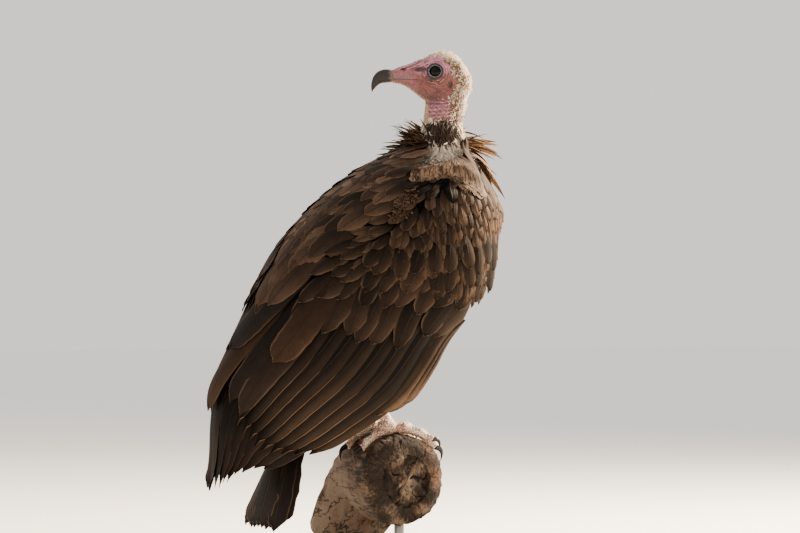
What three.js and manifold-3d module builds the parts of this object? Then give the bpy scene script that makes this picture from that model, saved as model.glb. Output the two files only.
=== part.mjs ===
// Hooded vulture, life size, perched on a cut length of limb over a plain display stand.
// Millimetres, +Z up. The bird faces -Y, its right side is -X. Origin: middle of the stand's underside.
import * as THREE from 'three';
import { mergeVertices } from 'three/addons/utils/BufferGeometryUtils.js';
import Module from 'manifold-3d';

const wasm = await Module();
wasm.setup();

// ---------------------------------------------------------------- driving dimensions
const CLEARANCE = 0.3; // between neighbouring pieces

const BASE_RADIUS = 150;
const BASE_THICKNESS = 18;
const BASE_EDGE = 3; // rounded rim
const ROD_RADIUS = 6;

const LIMB_RADIUS = 55;
const LIMB_END_RADIUS = 45;
const LIMB_Y = 19; // under the right foot
const LIMB_SLANT = 0.16; // how far it runs forwards for each millimetre to the left
const LIMB_Z = 135;
const LIMB_NEAR_X = -70;
const LIMB_BEND_X = 48;
const LIMB_FAR_X = 118;
const LIMB_DROP = 68; // how far the bent end hangs below the level part

const SHOULDER = new THREE.Vector3(0, -62, 510); // spine's start, at the root of the neck
const SPINE_SLOPE = 56; // degrees the spine drops from the level
const WING_WRAP = 125; // degrees a folded wing reaches round the body from the back's ridge
const COAT_ROUNDNESS = 0.9; // exponent of the section's width, 1 is an ellipse
const WING_SPLIT = 0.45; // share of that wrap where the long inner feathers meet the coverts
const COVERT_END = 212; // distance down the spine where the covert layer ends

const HEAD_CENTRE = new THREE.Vector3(0, -66, 618);
const HEAD_TURN = 25; // degrees that the bill points left of straight backwards
const EYE_RADIUS = 9;
const EYE_FORWARD = 17.6;
const EYE_UP = 4.9;
const EYE_SIDE = 12.4;
const MOUTH_UP = -2.4; // height of the line between the two halves of the bill

const FOOT_SIDE = 38; // from the middle plane to the middle of each foot
const FOOT_BACK = 15; // the ball of the foot lies this far behind the limb's axis
const TOE_RADIUS = 6;
const PAD_RADIUS = 9;
const ANKLE_Y = 74;
const ANKLE_Z = 268;

const rad = THREE.MathUtils.degToRad;
const lerp = THREE.MathUtils.lerp;
const smoothstep = THREE.MathUtils.smoothstep;

// ---------------------------------------------------------------- colours
const paint = (color, roughness) => new THREE.MeshStandardMaterial({ color, roughness, metalness: 0 });
const COAT = paint(0x4a382c, 0.8);
const COAT_DARK = paint(0x2b211c, 0.75);
const COAT_PALE = paint(0x7a6250, 0.85);
const DOWN = paint(0xd9c8b0, 0.95);
const SKIN = paint(0xb5787a, 0.6);
const HORN = paint(0x3a3433, 0.35);
const EYE = paint(0x140e0b, 0.1);
const SCALE = paint(0xb9a394, 0.6);
const CLAW = paint(0x221e1c, 0.35);
const WOOD = paint(0x7d6a57, 0.9);
const STAND = paint(0x2a2a2a, 0.4);
const STEEL = new THREE.MeshStandardMaterial({ color: 0x8a8a8a, roughness: 0.35, metalness: 1 });

// ---------------------------------------------------------------- small tools
/** A smooth curve y(x) through [x, y] stations, level beyond its ends. */
function profile(stations) {
  const slope = (i) => {
    const a = stations[Math.max(i - 1, 0)];
    const b = stations[Math.min(i + 1, stations.length - 1)];
    return (b[1] - a[1]) / (b[0] - a[0]);
  };
  return (x) => {
    if (x <= stations[0][0]) return stations[0][1];
    if (x >= stations.at(-1)[0]) return stations.at(-1)[1];
    const i = stations.findIndex((s) => s[0] > x) - 1;
    const [x0, y0] = stations[i];
    const [x1, y1] = stations[i + 1];
    const h = x1 - x0;
    const u = (x - x0) / h;
    const rise = (2 * u ** 3 - 3 * u ** 2 + 1) * y0 + (3 * u ** 2 - 2 * u ** 3) * y1;
    return rise + h * ((u ** 3 - 2 * u ** 2 + u) * slope(i) + (u ** 3 - u ** 2) * slope(i + 1));
  };
}

/** A geometry from vertices and triangles. */
function solid(vertices, triangles) {
  const geometry = new THREE.BufferGeometry();
  const numbers = vertices.flatMap((v) => v.toArray());
  geometry.setAttribute('position', new THREE.Float32BufferAttribute(numbers, 3));
  geometry.setIndex(triangles);
  return facingOut(geometry);
}

/** Turns the faces over if they enclose a negative volume. */
function facingOut(geometry) {
  const index = geometry.index.array;
  const position = geometry.attributes.position;
  const corner = (i) => new THREE.Vector3().fromBufferAttribute(position, index[i]);
  let volume = 0;
  for (let i = 0; i < index.length; i += 3) {
    volume += corner(i).dot(corner(i + 1).cross(corner(i + 2)));
  }
  if (volume < 0) {
    for (let i = 0; i < index.length; i += 3) {
      [index[i], index[i + 1]] = [index[i + 1], index[i]];
    }
  }
  return geometry;
}

/** Joins rings of points into one closed body with a fan on each end. */
function loft(rings) {
  const sides = rings[0].length;
  const vertices = rings.flat();
  const triangles = [];
  for (let r = 0; r + 1 < rings.length; r += 1) {
    for (let s = 0; s < sides; s += 1) {
      const a = r * sides + s;
      const b = r * sides + (s + 1) % sides;
      triangles.push(a, b, b + sides, a, b + sides, a + sides);
    }
  }
  [0, rings.length - 1].forEach((end) => {
    const middle = new THREE.Vector3();
    rings[end].forEach((p) => middle.addScaledVector(p, 1 / sides));
    const hub = vertices.push(middle) - 1;
    for (let s = 0; s < sides; s += 1) {
      const a = end * sides + s;
      const b = end * sides + (s + 1) % sides;
      if (end === 0) triangles.push(hub, b, a);
      else triangles.push(hub, a, b);
    }
  });
  return solid(vertices, triangles);
}

/**
 * Sweeps a rounded section along stations { at, wide, up, down }: wide runs along the direction
 * across, up and down are the half-heights on the two sides of it.
 */
function sweep(stations, across, rings, sides) {
  const path = new THREE.CatmullRomCurve3(stations.map((s) => new THREE.Vector3(...s.at)));
  const size = (key) => profile(stations.map((s, i) => [i / (stations.length - 1), s[key] ?? s.up]));
  const wide = size('wide');
  const up = size('up');
  const down = size('down');
  let before = new THREE.Vector3(0, 0, 1); // the last ring's rise, so that none turns over
  return loft(Array.from({ length: rings }, (_, r) => {
    const share = r / (rings - 1);
    const centre = path.getPoint(share);
    const rise = path.getTangent(share).cross(across).normalize();
    if (rise.dot(before) < -0.2) rise.negate();
    before = rise;
    return Array.from({ length: sides }, (__, s) => {
      const angle = (2 * Math.PI * s) / sides;
      const height = Math.sin(angle) * (Math.sin(angle) > 0 ? up(share) : down(share));
      return centre.clone()
        .addScaledVector(across, Math.cos(angle) * wide(share))
        .addScaledVector(rise, height);
    });
  }));
}

/** A closed plate between an outer and an inner grid of points. */
function plate(rows, columns, outerAt, innerAt) {
  const vertices = [];
  const count = (rows + 1) * (columns + 1);
  [outerAt, innerAt].forEach((at) => {
    for (let i = 0; i <= rows; i += 1) {
      for (let j = 0; j <= columns; j += 1) vertices.push(at(i / rows, j / columns));
    }
  });
  const id = (i, j) => i * (columns + 1) + j;
  const triangles = [];
  const quad = (a, b, c, d) => triangles.push(a, b, c, a, c, d);
  for (let i = 0; i < rows; i += 1) {
    for (let j = 0; j < columns; j += 1) {
      quad(id(i, j), id(i, j + 1), id(i + 1, j + 1), id(i + 1, j));
      quad(count + id(i, j), count + id(i + 1, j), count + id(i + 1, j + 1), count + id(i, j + 1));
    }
    quad(id(i, 0), id(i + 1, 0), count + id(i + 1, 0), count + id(i, 0));
    quad(id(i + 1, columns), id(i, columns), count + id(i, columns), count + id(i + 1, columns));
  }
  for (let j = 0; j < columns; j += 1) {
    quad(id(0, j + 1), id(0, j), count + id(0, j), count + id(0, j + 1));
    quad(id(rows, j), id(rows, j + 1), count + id(rows, j + 1), count + id(rows, j));
  }
  return solid(vertices, triangles);
}

/** The same body as a manifold, for joining and cutting. */
function toManifold(geometry) {
  const bare = geometry.clone();
  bare.deleteAttribute('normal');
  bare.deleteAttribute('uv');
  const merged = mergeVertices(bare, 1e-4);
  return new wasm.Manifold(new wasm.Mesh({
    numProp: 3,
    vertProperties: Float32Array.from(merged.attributes.position.array),
    triVerts: Uint32Array.from(merged.index.array),
  }));
}

/** A manifold as a geometry. */
function fromManifold(body) {
  const mesh = body.getMesh();
  const geometry = new THREE.BufferGeometry();
  geometry.setAttribute('position', new THREE.BufferAttribute(Float32Array.from(mesh.vertProperties), 3));
  geometry.setIndex(Array.from(mesh.triVerts));
  return geometry;
}

const cutBy = (geometry, ...tools) => fromManifold(
  tools.reduce((body, tool) => body.subtract(toManifold(tool)), toManifold(geometry)),
);
const joined = (geometries) => fromManifold(
  geometries.map(toManifold).reduce((body, next) => body.add(next)),
);

const bird = new THREE.Group();

/** Adds a named piece to the bird. */
function add(name, geometry, material) {
  const mesh = new THREE.Mesh(geometry, material);
  mesh.name = name;
  bird.add(mesh);
}

// ---------------------------------------------------------------- the coat's outer form
// Distance runs down the spine from the shoulder; height is measured out of the back from the spine.
const DOWN_SPINE = new THREE.Vector3(0, Math.cos(rad(SPINE_SLOPE)), -Math.sin(rad(SPINE_SLOPE)));
const OUT_OF_BACK = new THREE.Vector3(0, Math.sin(rad(SPINE_SLOPE)), Math.cos(rad(SPINE_SLOPE)));
const SIDEWAYS = new THREE.Vector3(1, 0, 0);

const backHeight = profile([
  [-20, 34], [0, 50], [37, 72], [73, 91], [118, 107], [160, 117], [205, 121], [255, 117],
  [300, 112], [345, 109], [390, 103], [425, 86], [455, 66], [495, 42],
]);
const halfWidth = profile([
  [-20, 42], [0, 64], [37, 86], [73, 97], [118, 103], [160, 103], [205, 100], [255, 94],
  [300, 86], [350, 76], [400, 64], [450, 50], [495, 40],
]);
const wingFront = profile([
  [-20, -2], [0, -36], [20, -60], [56, -79], [91, -91], [125, -99], [158, -101], [180, -93],
  [209, -86], [270, -83], [300, -76], [357, -52], [404, -30], [450, -2], [495, 26],
]);

/** A point of the coat: distance down the spine, share of the wing's wrap (negative is the left), lift. */
function coatPoint(distance, wrap, lift) {
  const angle = Math.abs(wrap) * rad(WING_WRAP);
  const reach = (backHeight(distance) - wingFront(distance)) / (1 - Math.cos(rad(WING_WRAP)));
  const width = halfWidth(distance);
  const side = width * Math.sin(angle) ** COAT_ROUNDNESS;
  const height = backHeight(distance) - reach + reach * Math.cos(angle);
  const normal = new THREE.Vector2(Math.sin(angle) / width, Math.cos(angle) / reach).normalize();
  return SHOULDER.clone()
    .addScaledVector(DOWN_SPINE, distance)
    .addScaledVector(OUT_OF_BACK, height + lift * normal.y)
    .addScaledVector(SIDEWAYS, -Math.sign(wrap || 1) * (side + lift * normal.x));
}

/**
 * One layer of feathers on the coat. from/to give the distance at each share across the layer,
 * inner/outer its wraps at each share along it, lift and depth its surface and its thickness.
 */
function featherLayer({ side, rows, columns, from, to, inner, outer, lift, depth, tips, tipDepth }) {
  const place = (along, across) => {
    const scallop = tipDepth * (1 - Math.abs(Math.sin(Math.PI * tips * across))) * smoothstep(along, 0.8, 1);
    const distance = lerp(from(across), to(across), along) - scallop;
    return [distance, side * lerp(inner(along), outer(along), across)];
  };
  return plate(
    rows,
    columns,
    (along, across) => {
      const [distance, wrap] = place(along, across);
      return coatPoint(distance, wrap, lift(distance));
    },
    (along, across) => {
      const [distance, wrap] = place(along, across);
      return coatPoint(distance, wrap, lift(distance) - depth(distance, along, across));
    },
  );
}

const flat = (value) => () => value;

// ---------------------------------------------------------------- trunk, neck
const trunkTop = profile([
  [-14, 16], [0, 33], [20, 47], [70, 70], [118, 88], [160, 97], [205, 98], [245, 88], [285, 70],
  [320, 50], [338, 38],
]);
const trunkWidth = profile([
  [-14, 22], [0, 44], [20, 60], [70, 77], [118, 84], [160, 83], [205, 76], [245, 64], [285, 48],
  [320, 30], [338, 10],
]);
const trunkBelly = profile([
  [-14, -22], [0, -48], [20, -66], [60, -87], [100, -95], [140, -92], [180, -78], [220, -56], [260, -30],
  [300, -2], [338, 22],
]);
const TRUNK_START = -14;
const TRUNK_END = 338;

/** The trunk inside its wings, grown by a margin. */
function trunkGeometry(margin) {
  const rings = 14;
  const sides = 18;
  return loft(Array.from({ length: rings }, (_, r) => {
    const distance = lerp(TRUNK_START, TRUNK_END, r / (rings - 1));
    const middle = lerp(trunkBelly(distance), trunkTop(distance), 0.45);
    return Array.from({ length: sides }, (__, s) => {
      const angle = (2 * Math.PI * s) / sides;
      const towards = Math.cos(angle) > 0 ? trunkTop(distance) - middle : middle - trunkBelly(distance);
      const width = Math.sign(Math.sin(angle)) * Math.abs(Math.sin(angle)) ** COAT_ROUNDNESS;
      return SHOULDER.clone()
        .addScaledVector(DOWN_SPINE, distance)
        .addScaledVector(OUT_OF_BACK, middle + (towards + margin) * Math.cos(angle))
        .addScaledVector(SIDEWAYS, (trunkWidth(distance) + margin) * width);
    });
  }));
}

const neckStations = [
  { at: [0, -61, 486], wide: 50, up: 44 },
  { at: [0, -60, 506], wide: 43, up: 40 },
  { at: [0, -58, 526], wide: 32, up: 31 },
  { at: [0, -56, 545], wide: 26, up: 26 },
  { at: [0, -56, 560], wide: 24.5, up: 24.5 },
  { at: [1, -60, 578], wide: 25, up: 25.5 },
  { at: [1, -63, 594], wide: 24, up: 25 },
  { at: [1, -65, 606], wide: 20, up: 22 },
];
const NECK_JOIN = 545; // height where the bare neck meets the feathered root

/** The whole neck, from inside the trunk up to the skull. */
const neckGeometry = () => sweep(neckStations, SIDEWAYS, 9, 14);

/** A level slab wide enough to part the neck. */
function slab(low, high) {
  return new THREE.BoxGeometry(300, 300, high - low).translate(0, -60, (low + high) / 2);
}

// ---------------------------------------------------------------- head
const HEAD_FORWARD = new THREE.Vector3(Math.sin(rad(HEAD_TURN)), Math.cos(rad(HEAD_TURN)), 0);
const HEAD_LEFT = new THREE.Vector3(-Math.cos(rad(HEAD_TURN)), Math.sin(rad(HEAD_TURN)), 0);

/** A point given forward, left and up from the middle of the skull. */
function headPoint(forward, left, up) {
  return HEAD_CENTRE.clone()
    .addScaledVector(HEAD_FORWARD, forward)
    .addScaledVector(HEAD_LEFT, left)
    .add(new THREE.Vector3(0, 0, up));
}

/** Stations of a head piece: [forward, up, half width, half height above, half height below]. */
const headStations = (list) => list.map(([forward, up, wide, above, below]) => (
  { at: headPoint(forward, 0, up).toArray(), wide, up: above, down: below }
));

const skullStations = (grow) => headStations([
  [-27 - grow, -6, 4, 5, 5],
  [-23, -6, 13 + grow, 15 + grow, 15 + grow],
  [-14, -5, 19 + grow, 23.5 + grow, 21 + grow],
  [-3, -4, 22.5 + grow, 31 + grow, 25 + grow],
  [9, -3, 23 + grow, 32 + grow, 27 + grow],
  [20, -3, 21 + grow, 28 + grow, 26 + grow],
  [31, -3, 16 + grow, 23 + grow, 25 + grow],
  [41.5, -3, 12 + grow, 19.6 + grow, 18 + grow],
]);

const eyeBall = (side, radius) => {
  const centre = headPoint(EYE_FORWARD, side * EYE_SIDE, EYE_UP);
  return new THREE.SphereGeometry(radius, 12, 10).translate(...centre.toArray());
};

function addHead() {
  const skull = sweep(skullStations(0), HEAD_LEFT, 11, 14);
  add('head', cutBy(skull, eyeBall(1, EYE_RADIUS + CLEARANCE), eyeBall(-1, EYE_RADIUS + CLEARANCE)), SKIN);
  add('eye_left', eyeBall(1, EYE_RADIUS), EYE);
  add('eye_right', eyeBall(-1, EYE_RADIUS), EYE);

  const roof = MOUTH_UP + 1.2;
  add('cere', sweep(headStations([
    [41.8, roof, 11.8, 17.6, 1],
    [50, roof, 10, 14.6, 1],
    [60, roof, 8.6, 11.5, 1],
    [69.3, roof, 7.8, 8.7, 1],
  ]), HEAD_LEFT, 5, 10), SKIN);
  add('bill_hook', sweep(headStations([
    [71.2, roof, 7.8, 8.7, 3],
    [77, 0, 7.2, 7.4, 7],
    [84, -1.5, 6.2, 7, 6.5],
    [90, -8, 4.4, 5.2, 4.2],
    [92.8, -14, 2.6, 2.6, 2.4],
    [92.6, -18.6, 0.8, 0.8, 0.8],
  ]), HEAD_LEFT, 9, 10), HORN);

  const floor = MOUTH_UP - 1.2;
  add('mandible', sweep(headStations([
    [41.8, floor, 11.4, 1, 17],
    [50, floor, 9.4, 1, 12],
    [60, floor, 7.6, 1, 7.6],
    [69.3, floor, 6.6, 1, 5.2],
  ]), HEAD_LEFT, 5, 10), SKIN);
}

function addTrunkAndNeck() {
  add('trunk', trunkGeometry(0), COAT);
  const rootTools = [trunkGeometry(CLEARANCE), mantleGeometry(CLEARANCE), slab(NECK_JOIN, 700)];
  add('neck_root', cutBy(neckGeometry(), ...rootTools), DOWN);
  const skullTool = sweep(skullStations(CLEARANCE), HEAD_LEFT, 11, 14);
  add('neck', cutBy(neckGeometry(), slab(400, NECK_JOIN + CLEARANCE), skullTool), SKIN);
}

// ---------------------------------------------------------------- ruff
const RUFF_LOW = rad(-110); // where the collar droops, over the breast
const RUFF_SPIKES = 15;
const RUFF_CENTRE = new THREE.Vector3(0, -57, 541);

/** The collar of pointed feathers round the root of the neck, as a toothed dish. */
function addRuff() {
  const across = 2;
  const round = RUFF_SPIKES * 2;
  const ringPoint = (share, step, below) => {
    const angle = (2 * Math.PI * (step % round)) / round;
    const tip = 60 + 5 * Math.cos(angle - RUFF_LOW) - (step % 2) * 15;
    const radius = lerp(33, tip, share);
    const rise = share * (10 - 16 * Math.cos(angle - RUFF_LOW)) - below * (1 - share * 0.8);
    const offset = new THREE.Vector3(radius * Math.cos(angle), radius * Math.sin(angle), rise);
    return RUFF_CENTRE.clone().add(offset);
  };
  const thickness = 8;
  const loops = [];
  for (let i = 0; i <= across; i += 1) loops.push([i / across, 0]);
  for (let i = across; i >= 0; i -= 1) loops.push([i / across, thickness]);
  const vertices = loops.flatMap(([share, below]) => (
    Array.from({ length: round }, (_, s) => ringPoint(share, s, below))
  ));
  const triangles = [];
  loops.forEach((_, l) => {
    const next = (l + 1) % loops.length;
    for (let s = 0; s < round; s += 1) {
      const t = (s + 1) % round;
      triangles.push(l * round + s, l * round + t, next * round + t);
      triangles.push(l * round + s, next * round + t, next * round + s);
    }
  });
  const ruff = solid(vertices, triangles);
  add('ruff', cutBy(ruff, trunkGeometry(CLEARANCE), neckCutter(), mantleGeometry(CLEARANCE)), COAT_PALE);
}

/** The neck, a little thicker, to clear what lies round it. */
function neckCutter() {
  const thicker = neckStations.map((s) => ({ ...s, wide: s.wide + CLEARANCE, up: s.up + CLEARANCE }));
  return sweep(thicker, SIDEWAYS, 9, 14);
}

// ---------------------------------------------------------------- wings and back
const UPPER_LIFT = 1;
const UPPER_DEPTH = 13;
const UNDER_LIFT = -7.2;
const UNDER_START = 150;
const QUILL_START = 330;
const SPLIT_GAP = 0.01; // share of the wrap left open between neighbouring layers

/** The covert layer is thick over the shoulder and thin where the flight feathers run beneath it. */
const upperDepth = (distance) => (
  lerp(UPPER_DEPTH, 5.5, smoothstep(distance, UNDER_START - 56, UNDER_START - 30))
);
const underLift = (distance) => lerp(UNDER_LIFT, -1, smoothstep(distance, COVERT_END + 6, COVERT_END + 30));
const quillLift = (distance) => lerp(-13, -4, smoothstep(distance, 408, 440));

/** The back's shield of feathers, grown outwards by a margin. */
function mantleGeometry(margin) {
  return featherLayer({
    side: 1,
    rows: 8,
    columns: 8,
    from: (a) => 14 - 10 * Math.sin(Math.PI * a),
    to: (a) => 150 + 52 * Math.sin(Math.PI * a),
    inner: (s) => -lerp(0.24, 0.2, s),
    outer: (s) => lerp(0.24, 0.2, s),
    lift: flat(UPPER_LIFT + 1 + margin),
    depth: upperDepth,
    tips: 4,
    tipDepth: 8,
  });
}

function addWing(label, side) {
  const mantleEdge = 0.255;
  add(`scapulars_${label}`, featherLayer({
    side,
    rows: 8,
    columns: 4,
    from: flat(-2),
    to: (a) => COVERT_END + 22 - 20 * a,
    inner: flat(mantleEdge),
    outer: flat(WING_SPLIT),
    lift: flat(UPPER_LIFT + 1),
    depth: upperDepth,
    tips: 2,
    tipDepth: 12,
  }), COAT);
  add(`coverts_${label}`, featherLayer({
    side,
    rows: 8,
    columns: 10,
    from: (a) => -6 - 6 * a,
    to: (a) => COVERT_END - 22 * a,
    inner: flat(WING_SPLIT + SPLIT_GAP),
    outer: flat(1),
    lift: flat(UPPER_LIFT),
    depth: (d, along, across) => upperDepth(d) * (1 - 0.45 * smoothstep(across, 0.8, 1)),
    tips: 5,
    tipDepth: 8,
  }), COAT);
  add(`tertials_${label}`, featherLayer({
    side,
    rows: 7,
    columns: 6,
    from: flat(UNDER_START),
    to: (a) => 402 - 30 * a,
    inner: (s) => lerp(0.03, 0.012, s),
    outer: flat(WING_SPLIT),
    lift: underLift,
    depth: (d, along) => lerp(6.5, 2.5, along),
    tips: 3,
    tipDepth: 16,
  }), COAT_DARK);
  add(`secondaries_${label}`, featherLayer({
    side,
    rows: 7,
    columns: 10,
    from: flat(UNDER_START),
    to: (a) => 408 - 34 * a * a,
    inner: flat(WING_SPLIT + SPLIT_GAP),
    outer: flat(1),
    lift: underLift,
    depth: (d, along) => lerp(6.5, 2.5, along),
    tips: 5,
    tipDepth: 10,
  }), COAT_DARK);
  add(`primaries_${label}`, featherLayer({
    side,
    rows: 7,
    columns: 6,
    from: (a) => QUILL_START + 30 * (1 - a) - 10 * a,
    to: (a) => 494 - 12 * a - 30 * a * a,
    inner: (s) => lerp(0.1, 0.16, s),
    outer: flat(1),
    lift: quillLift,
    depth: (d, along) => lerp(5, 1.6, along),
    tips: 3,
    tipDepth: 14,
  }), COAT_DARK);
}

// ---------------------------------------------------------------- tail
function addTail() {
  const height = profile([[268, 30], [330, 21], [400, -2], [500, -32]]);
  const half = profile([[268, 18], [330, 31], [400, 34], [440, 43], [500, 56]]);
  const point = (along, across, below) => {
    const side = 2 * across - 1;
    const scallop = 12 * (1 - Math.abs(Math.sin(Math.PI * 6 * across))) * smoothstep(along, 0.8, 1);
    const distance = lerp(TRUNK_END + 2, 500 - 16 * side * side, along) - scallop;
    const droop = 10 * side * side * (1 - 0.3 * along);
    return SHOULDER.clone()
      .addScaledVector(DOWN_SPINE, distance)
      .addScaledVector(OUT_OF_BACK, height(distance) - droop - below * lerp(9, 2.4, along))
      .addScaledVector(SIDEWAYS, side * half(distance));
  };
  add('tail', plate(7, 12, (s, a) => point(s, a, 0), (s, a) => point(s, a, 1)), COAT_DARK);
}

// ---------------------------------------------------------------- legs and feet
const BALL_Z = LIMB_Z + LIMB_RADIUS + PAD_RADIUS;

/** How far back the limb's axis lies at a place across the bird. */
const limbY = (x) => LIMB_Y - LIMB_SLANT * (x + FOOT_SIDE);

/** A point just over the limb: angle from its top towards the front, height over the bark, side. */
function overLimb(angle, height, x) {
  const radius = LIMB_RADIUS + height;
  return [x, limbY(x) - radius * Math.sin(rad(angle)), LIMB_Z + radius * Math.cos(rad(angle))];
}

/**
 * Toes of a foot: how far the tip spreads outwards, the angles over the limb where the toe starts
 * and ends, its girth against the middle of the range, and the length of its claw.
 */
const TOES = [
  { name: 'inner', spread: -19, start: -13, end: 26, girth: 0.95, claw: 17 },
  { name: 'middle', spread: -3, start: -13, end: 52, girth: 1.05, claw: 17 },
  { name: 'outer', spread: 20, start: -13, end: 38, girth: 0.9, claw: 14 },
  { name: 'hind', spread: -6, start: -18, end: -52, girth: 0.9, claw: 18 },
];

/** One toe and its claw on the side given by sign (1 is the left). */
function toeSolids(sign, { spread, start, end, girth, claw }) {
  const steps = 5;
  const radius = TOE_RADIUS * girth;
  const x = (share) => sign * (FOOT_SIDE + spread * share);
  const stations = Array.from({ length: steps }, (_, i) => {
    const share = i / (steps - 1);
    const knuckle = 1 + 0.12 * Math.cos(share * Math.PI * 6);
    const thick = radius * knuckle * lerp(1.1, 0.8, share);
    const at = overLimb(lerp(start, end, share), radius * 1.15 + CLEARANCE, x(share));
    return { at, wide: thick, up: thick };
  });
  const forwards = Math.sign(end - start);
  const perMillimetre = forwards / rad(LIMB_RADIUS + radius);
  const clawStations = [0, 0.35, 0.7, 1].map((share) => ({
    at: overLimb(
      end + perMillimetre * (1.6 + claw * share),
      radius * 1.1 + CLEARANCE + 3.5 * Math.sin(Math.PI * share) - 3 * share,
      x(1) + sign * spread * 0.12 * share,
    ),
    wide: lerp(radius * 0.62, 0.5, share),
    up: lerp(radius * 0.72, 0.5, share),
  }));
  return {
    toe: sweep(stations, SIDEWAYS, 6, 6),
    claw: sweep(clawStations, SIDEWAYS, 5, 6),
  };
}

/** The scaly shank from the ball of the foot up into the feathers. */
function tarsusSolid(x, footY, sign) {
  return sweep([
    { at: [x, footY + 1, BALL_Z + 2], wide: 6.5, up: 7 },
    { at: [x + sign, lerp(footY, ANKLE_Y, 0.33), BALL_Z + 24], wide: 5.2, up: 6 },
    { at: [x + sign * 3, lerp(footY, ANKLE_Y, 0.68), BALL_Z + 47], wide: 5.6, up: 6.4 },
    { at: [x + sign * 4, ANKLE_Y, ANKLE_Z], wide: 8, up: 8 },
  ], SIDEWAYS, 6, 8);
}

/** The feathered shin and thigh, from the ankle up into the belly. */
function thighSolid(x, sign) {
  return sweep([
    { at: [x + sign * 4, ANKLE_Y + 2, ANKLE_Z - 6], wide: 9, up: 9 },
    { at: [x + sign * 5, ANKLE_Y - 2, ANKLE_Z + 8], wide: 14, up: 16 },
    { at: [x + sign * 8, 52, 298], wide: 21, up: 27 },
    { at: [x + sign * 8, 26, 325], wide: 24, up: 35 },
    { at: [x + sign * 4, 8, 356], wide: 20, up: 30 },
  ], SIDEWAYS, 8, 12);
}

function addLeg(label, sign) {
  const x = sign * FOOT_SIDE;
  const footY = limbY(x) + FOOT_BACK;
  const pad = new THREE.SphereGeometry(PAD_RADIUS, 8, 6).scale(1.15, 1.2, 0.95).translate(x, footY, BALL_Z);
  const limbTool = limbGeometry(CLEARANCE);
  const toes = TOES.map((toe) => ({ ...toeSolids(sign, toe), name: toe.name }));
  const shin = joined([pad, ...toes.map((t) => t.toe), tarsusSolid(x, footY, sign)]);
  const thigh = thighSolid(x, sign);
  add(`thigh_${label}`, cutBy(thigh, trunkGeometry(CLEARANCE)), COAT);
  add(`foot_${label}`, cutBy(shin, thigh, limbTool, ...toes.map((t) => swollen(t.claw))), SCALE);
  toes.forEach((t) => add(`claw_${t.name}_${label}`, t.claw, CLAW));
}

/** A copy grown by the clearance about its own middle. */
function swollen(geometry) {
  const copy = geometry.clone();
  copy.computeBoundingBox();
  const middle = copy.boundingBox.getCenter(new THREE.Vector3());
  const size = copy.boundingBox.getSize(new THREE.Vector3());
  const grow = 1 + (2 * CLEARANCE) / Math.min(size.x, size.y, size.z);
  return copy.translate(-middle.x, -middle.y, -middle.z).scale(grow, grow, grow)
    .translate(middle.x, middle.y, middle.z);
}

// ---------------------------------------------------------------- perch and stand
/** The cut limb: level under the feet, then bending down to the bird's left. */
function limbGeometry(margin) {
  const path = [
    [LIMB_NEAR_X - margin, 0, 0, 0.6],
    [LIMB_NEAR_X + 4, 0, 0, 0.86],
    [LIMB_NEAR_X + 18, 0, 0, 1],
    [0, 0, 0, 1],
    [LIMB_BEND_X, 0, 0, 1],
    [LIMB_BEND_X + 34, 8, 22, 0.95],
    [LIMB_FAR_X, 26, LIMB_DROP, LIMB_END_RADIUS / LIMB_RADIUS],
  ];
  const stations = path.map(([x, back, drop, share]) => (
    {
      at: [x, limbY(x) + back, LIMB_Z - drop],
      wide: LIMB_RADIUS * share + margin,
      up: LIMB_RADIUS * share + margin,
    }
  ));
  const across = new THREE.Vector3(0, 1, 0);
  return sweep(stations, across, 14, 18);
}

function addStand() {
  const disc = new THREE.LatheGeometry([
    new THREE.Vector2(0, 0),
    new THREE.Vector2(BASE_RADIUS, 0),
    new THREE.Vector2(BASE_RADIUS, BASE_THICKNESS - BASE_EDGE),
    new THREE.Vector2(BASE_RADIUS - BASE_EDGE, BASE_THICKNESS),
    new THREE.Vector2(0, BASE_THICKNESS),
  ], 36).rotateX(Math.PI / 2);
  add('stand_base', facingOut(mergeVertices(stripped(disc), 1e-3)), STAND);
  const limbTool = limbGeometry(CLEARANCE);
  const rod = (x, y, top) => {
    const low = BASE_THICKNESS + CLEARANCE;
    const body = new THREE.CylinderGeometry(ROD_RADIUS, ROD_RADIUS, top - low, 16).rotateX(Math.PI / 2);
    return cutBy(body.translate(x, y, (top + low) / 2), limbTool);
  };
  add('stand_rod_right', rod(-FOOT_SIDE, LIMB_Y, LIMB_Z - LIMB_RADIUS + 6), STEEL);
  add('stand_rod_left', rod(92, limbY(92) + 13, 62), STEEL);
}

/** A geometry with only its positions left. */
function stripped(geometry) {
  const bare = geometry.clone();
  bare.deleteAttribute('normal');
  bare.deleteAttribute('uv');
  return bare;
}

// ---------------------------------------------------------------- assembly
addTrunkAndNeck();
addHead();
addRuff();
add('mantle', mantleGeometry(0), COAT_PALE);
addWing('right', 1);
addWing('left', -1);
addTail();
addLeg('right', -1);
addLeg('left', 1);
add('perch', limbGeometry(0), WOOD);
addStand();

export default bird;
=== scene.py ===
"""The looks of a life-size hooded vulture, perched on a cut limb over a plain display stand.

Sizes are millimetres until a mesh is made. +Z is up, the bird faces -Y and its right side is -X.
"""
import logging
import math
from collections.abc import Sequence
from dataclasses import dataclass, field, replace
from enum import Enum

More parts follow.
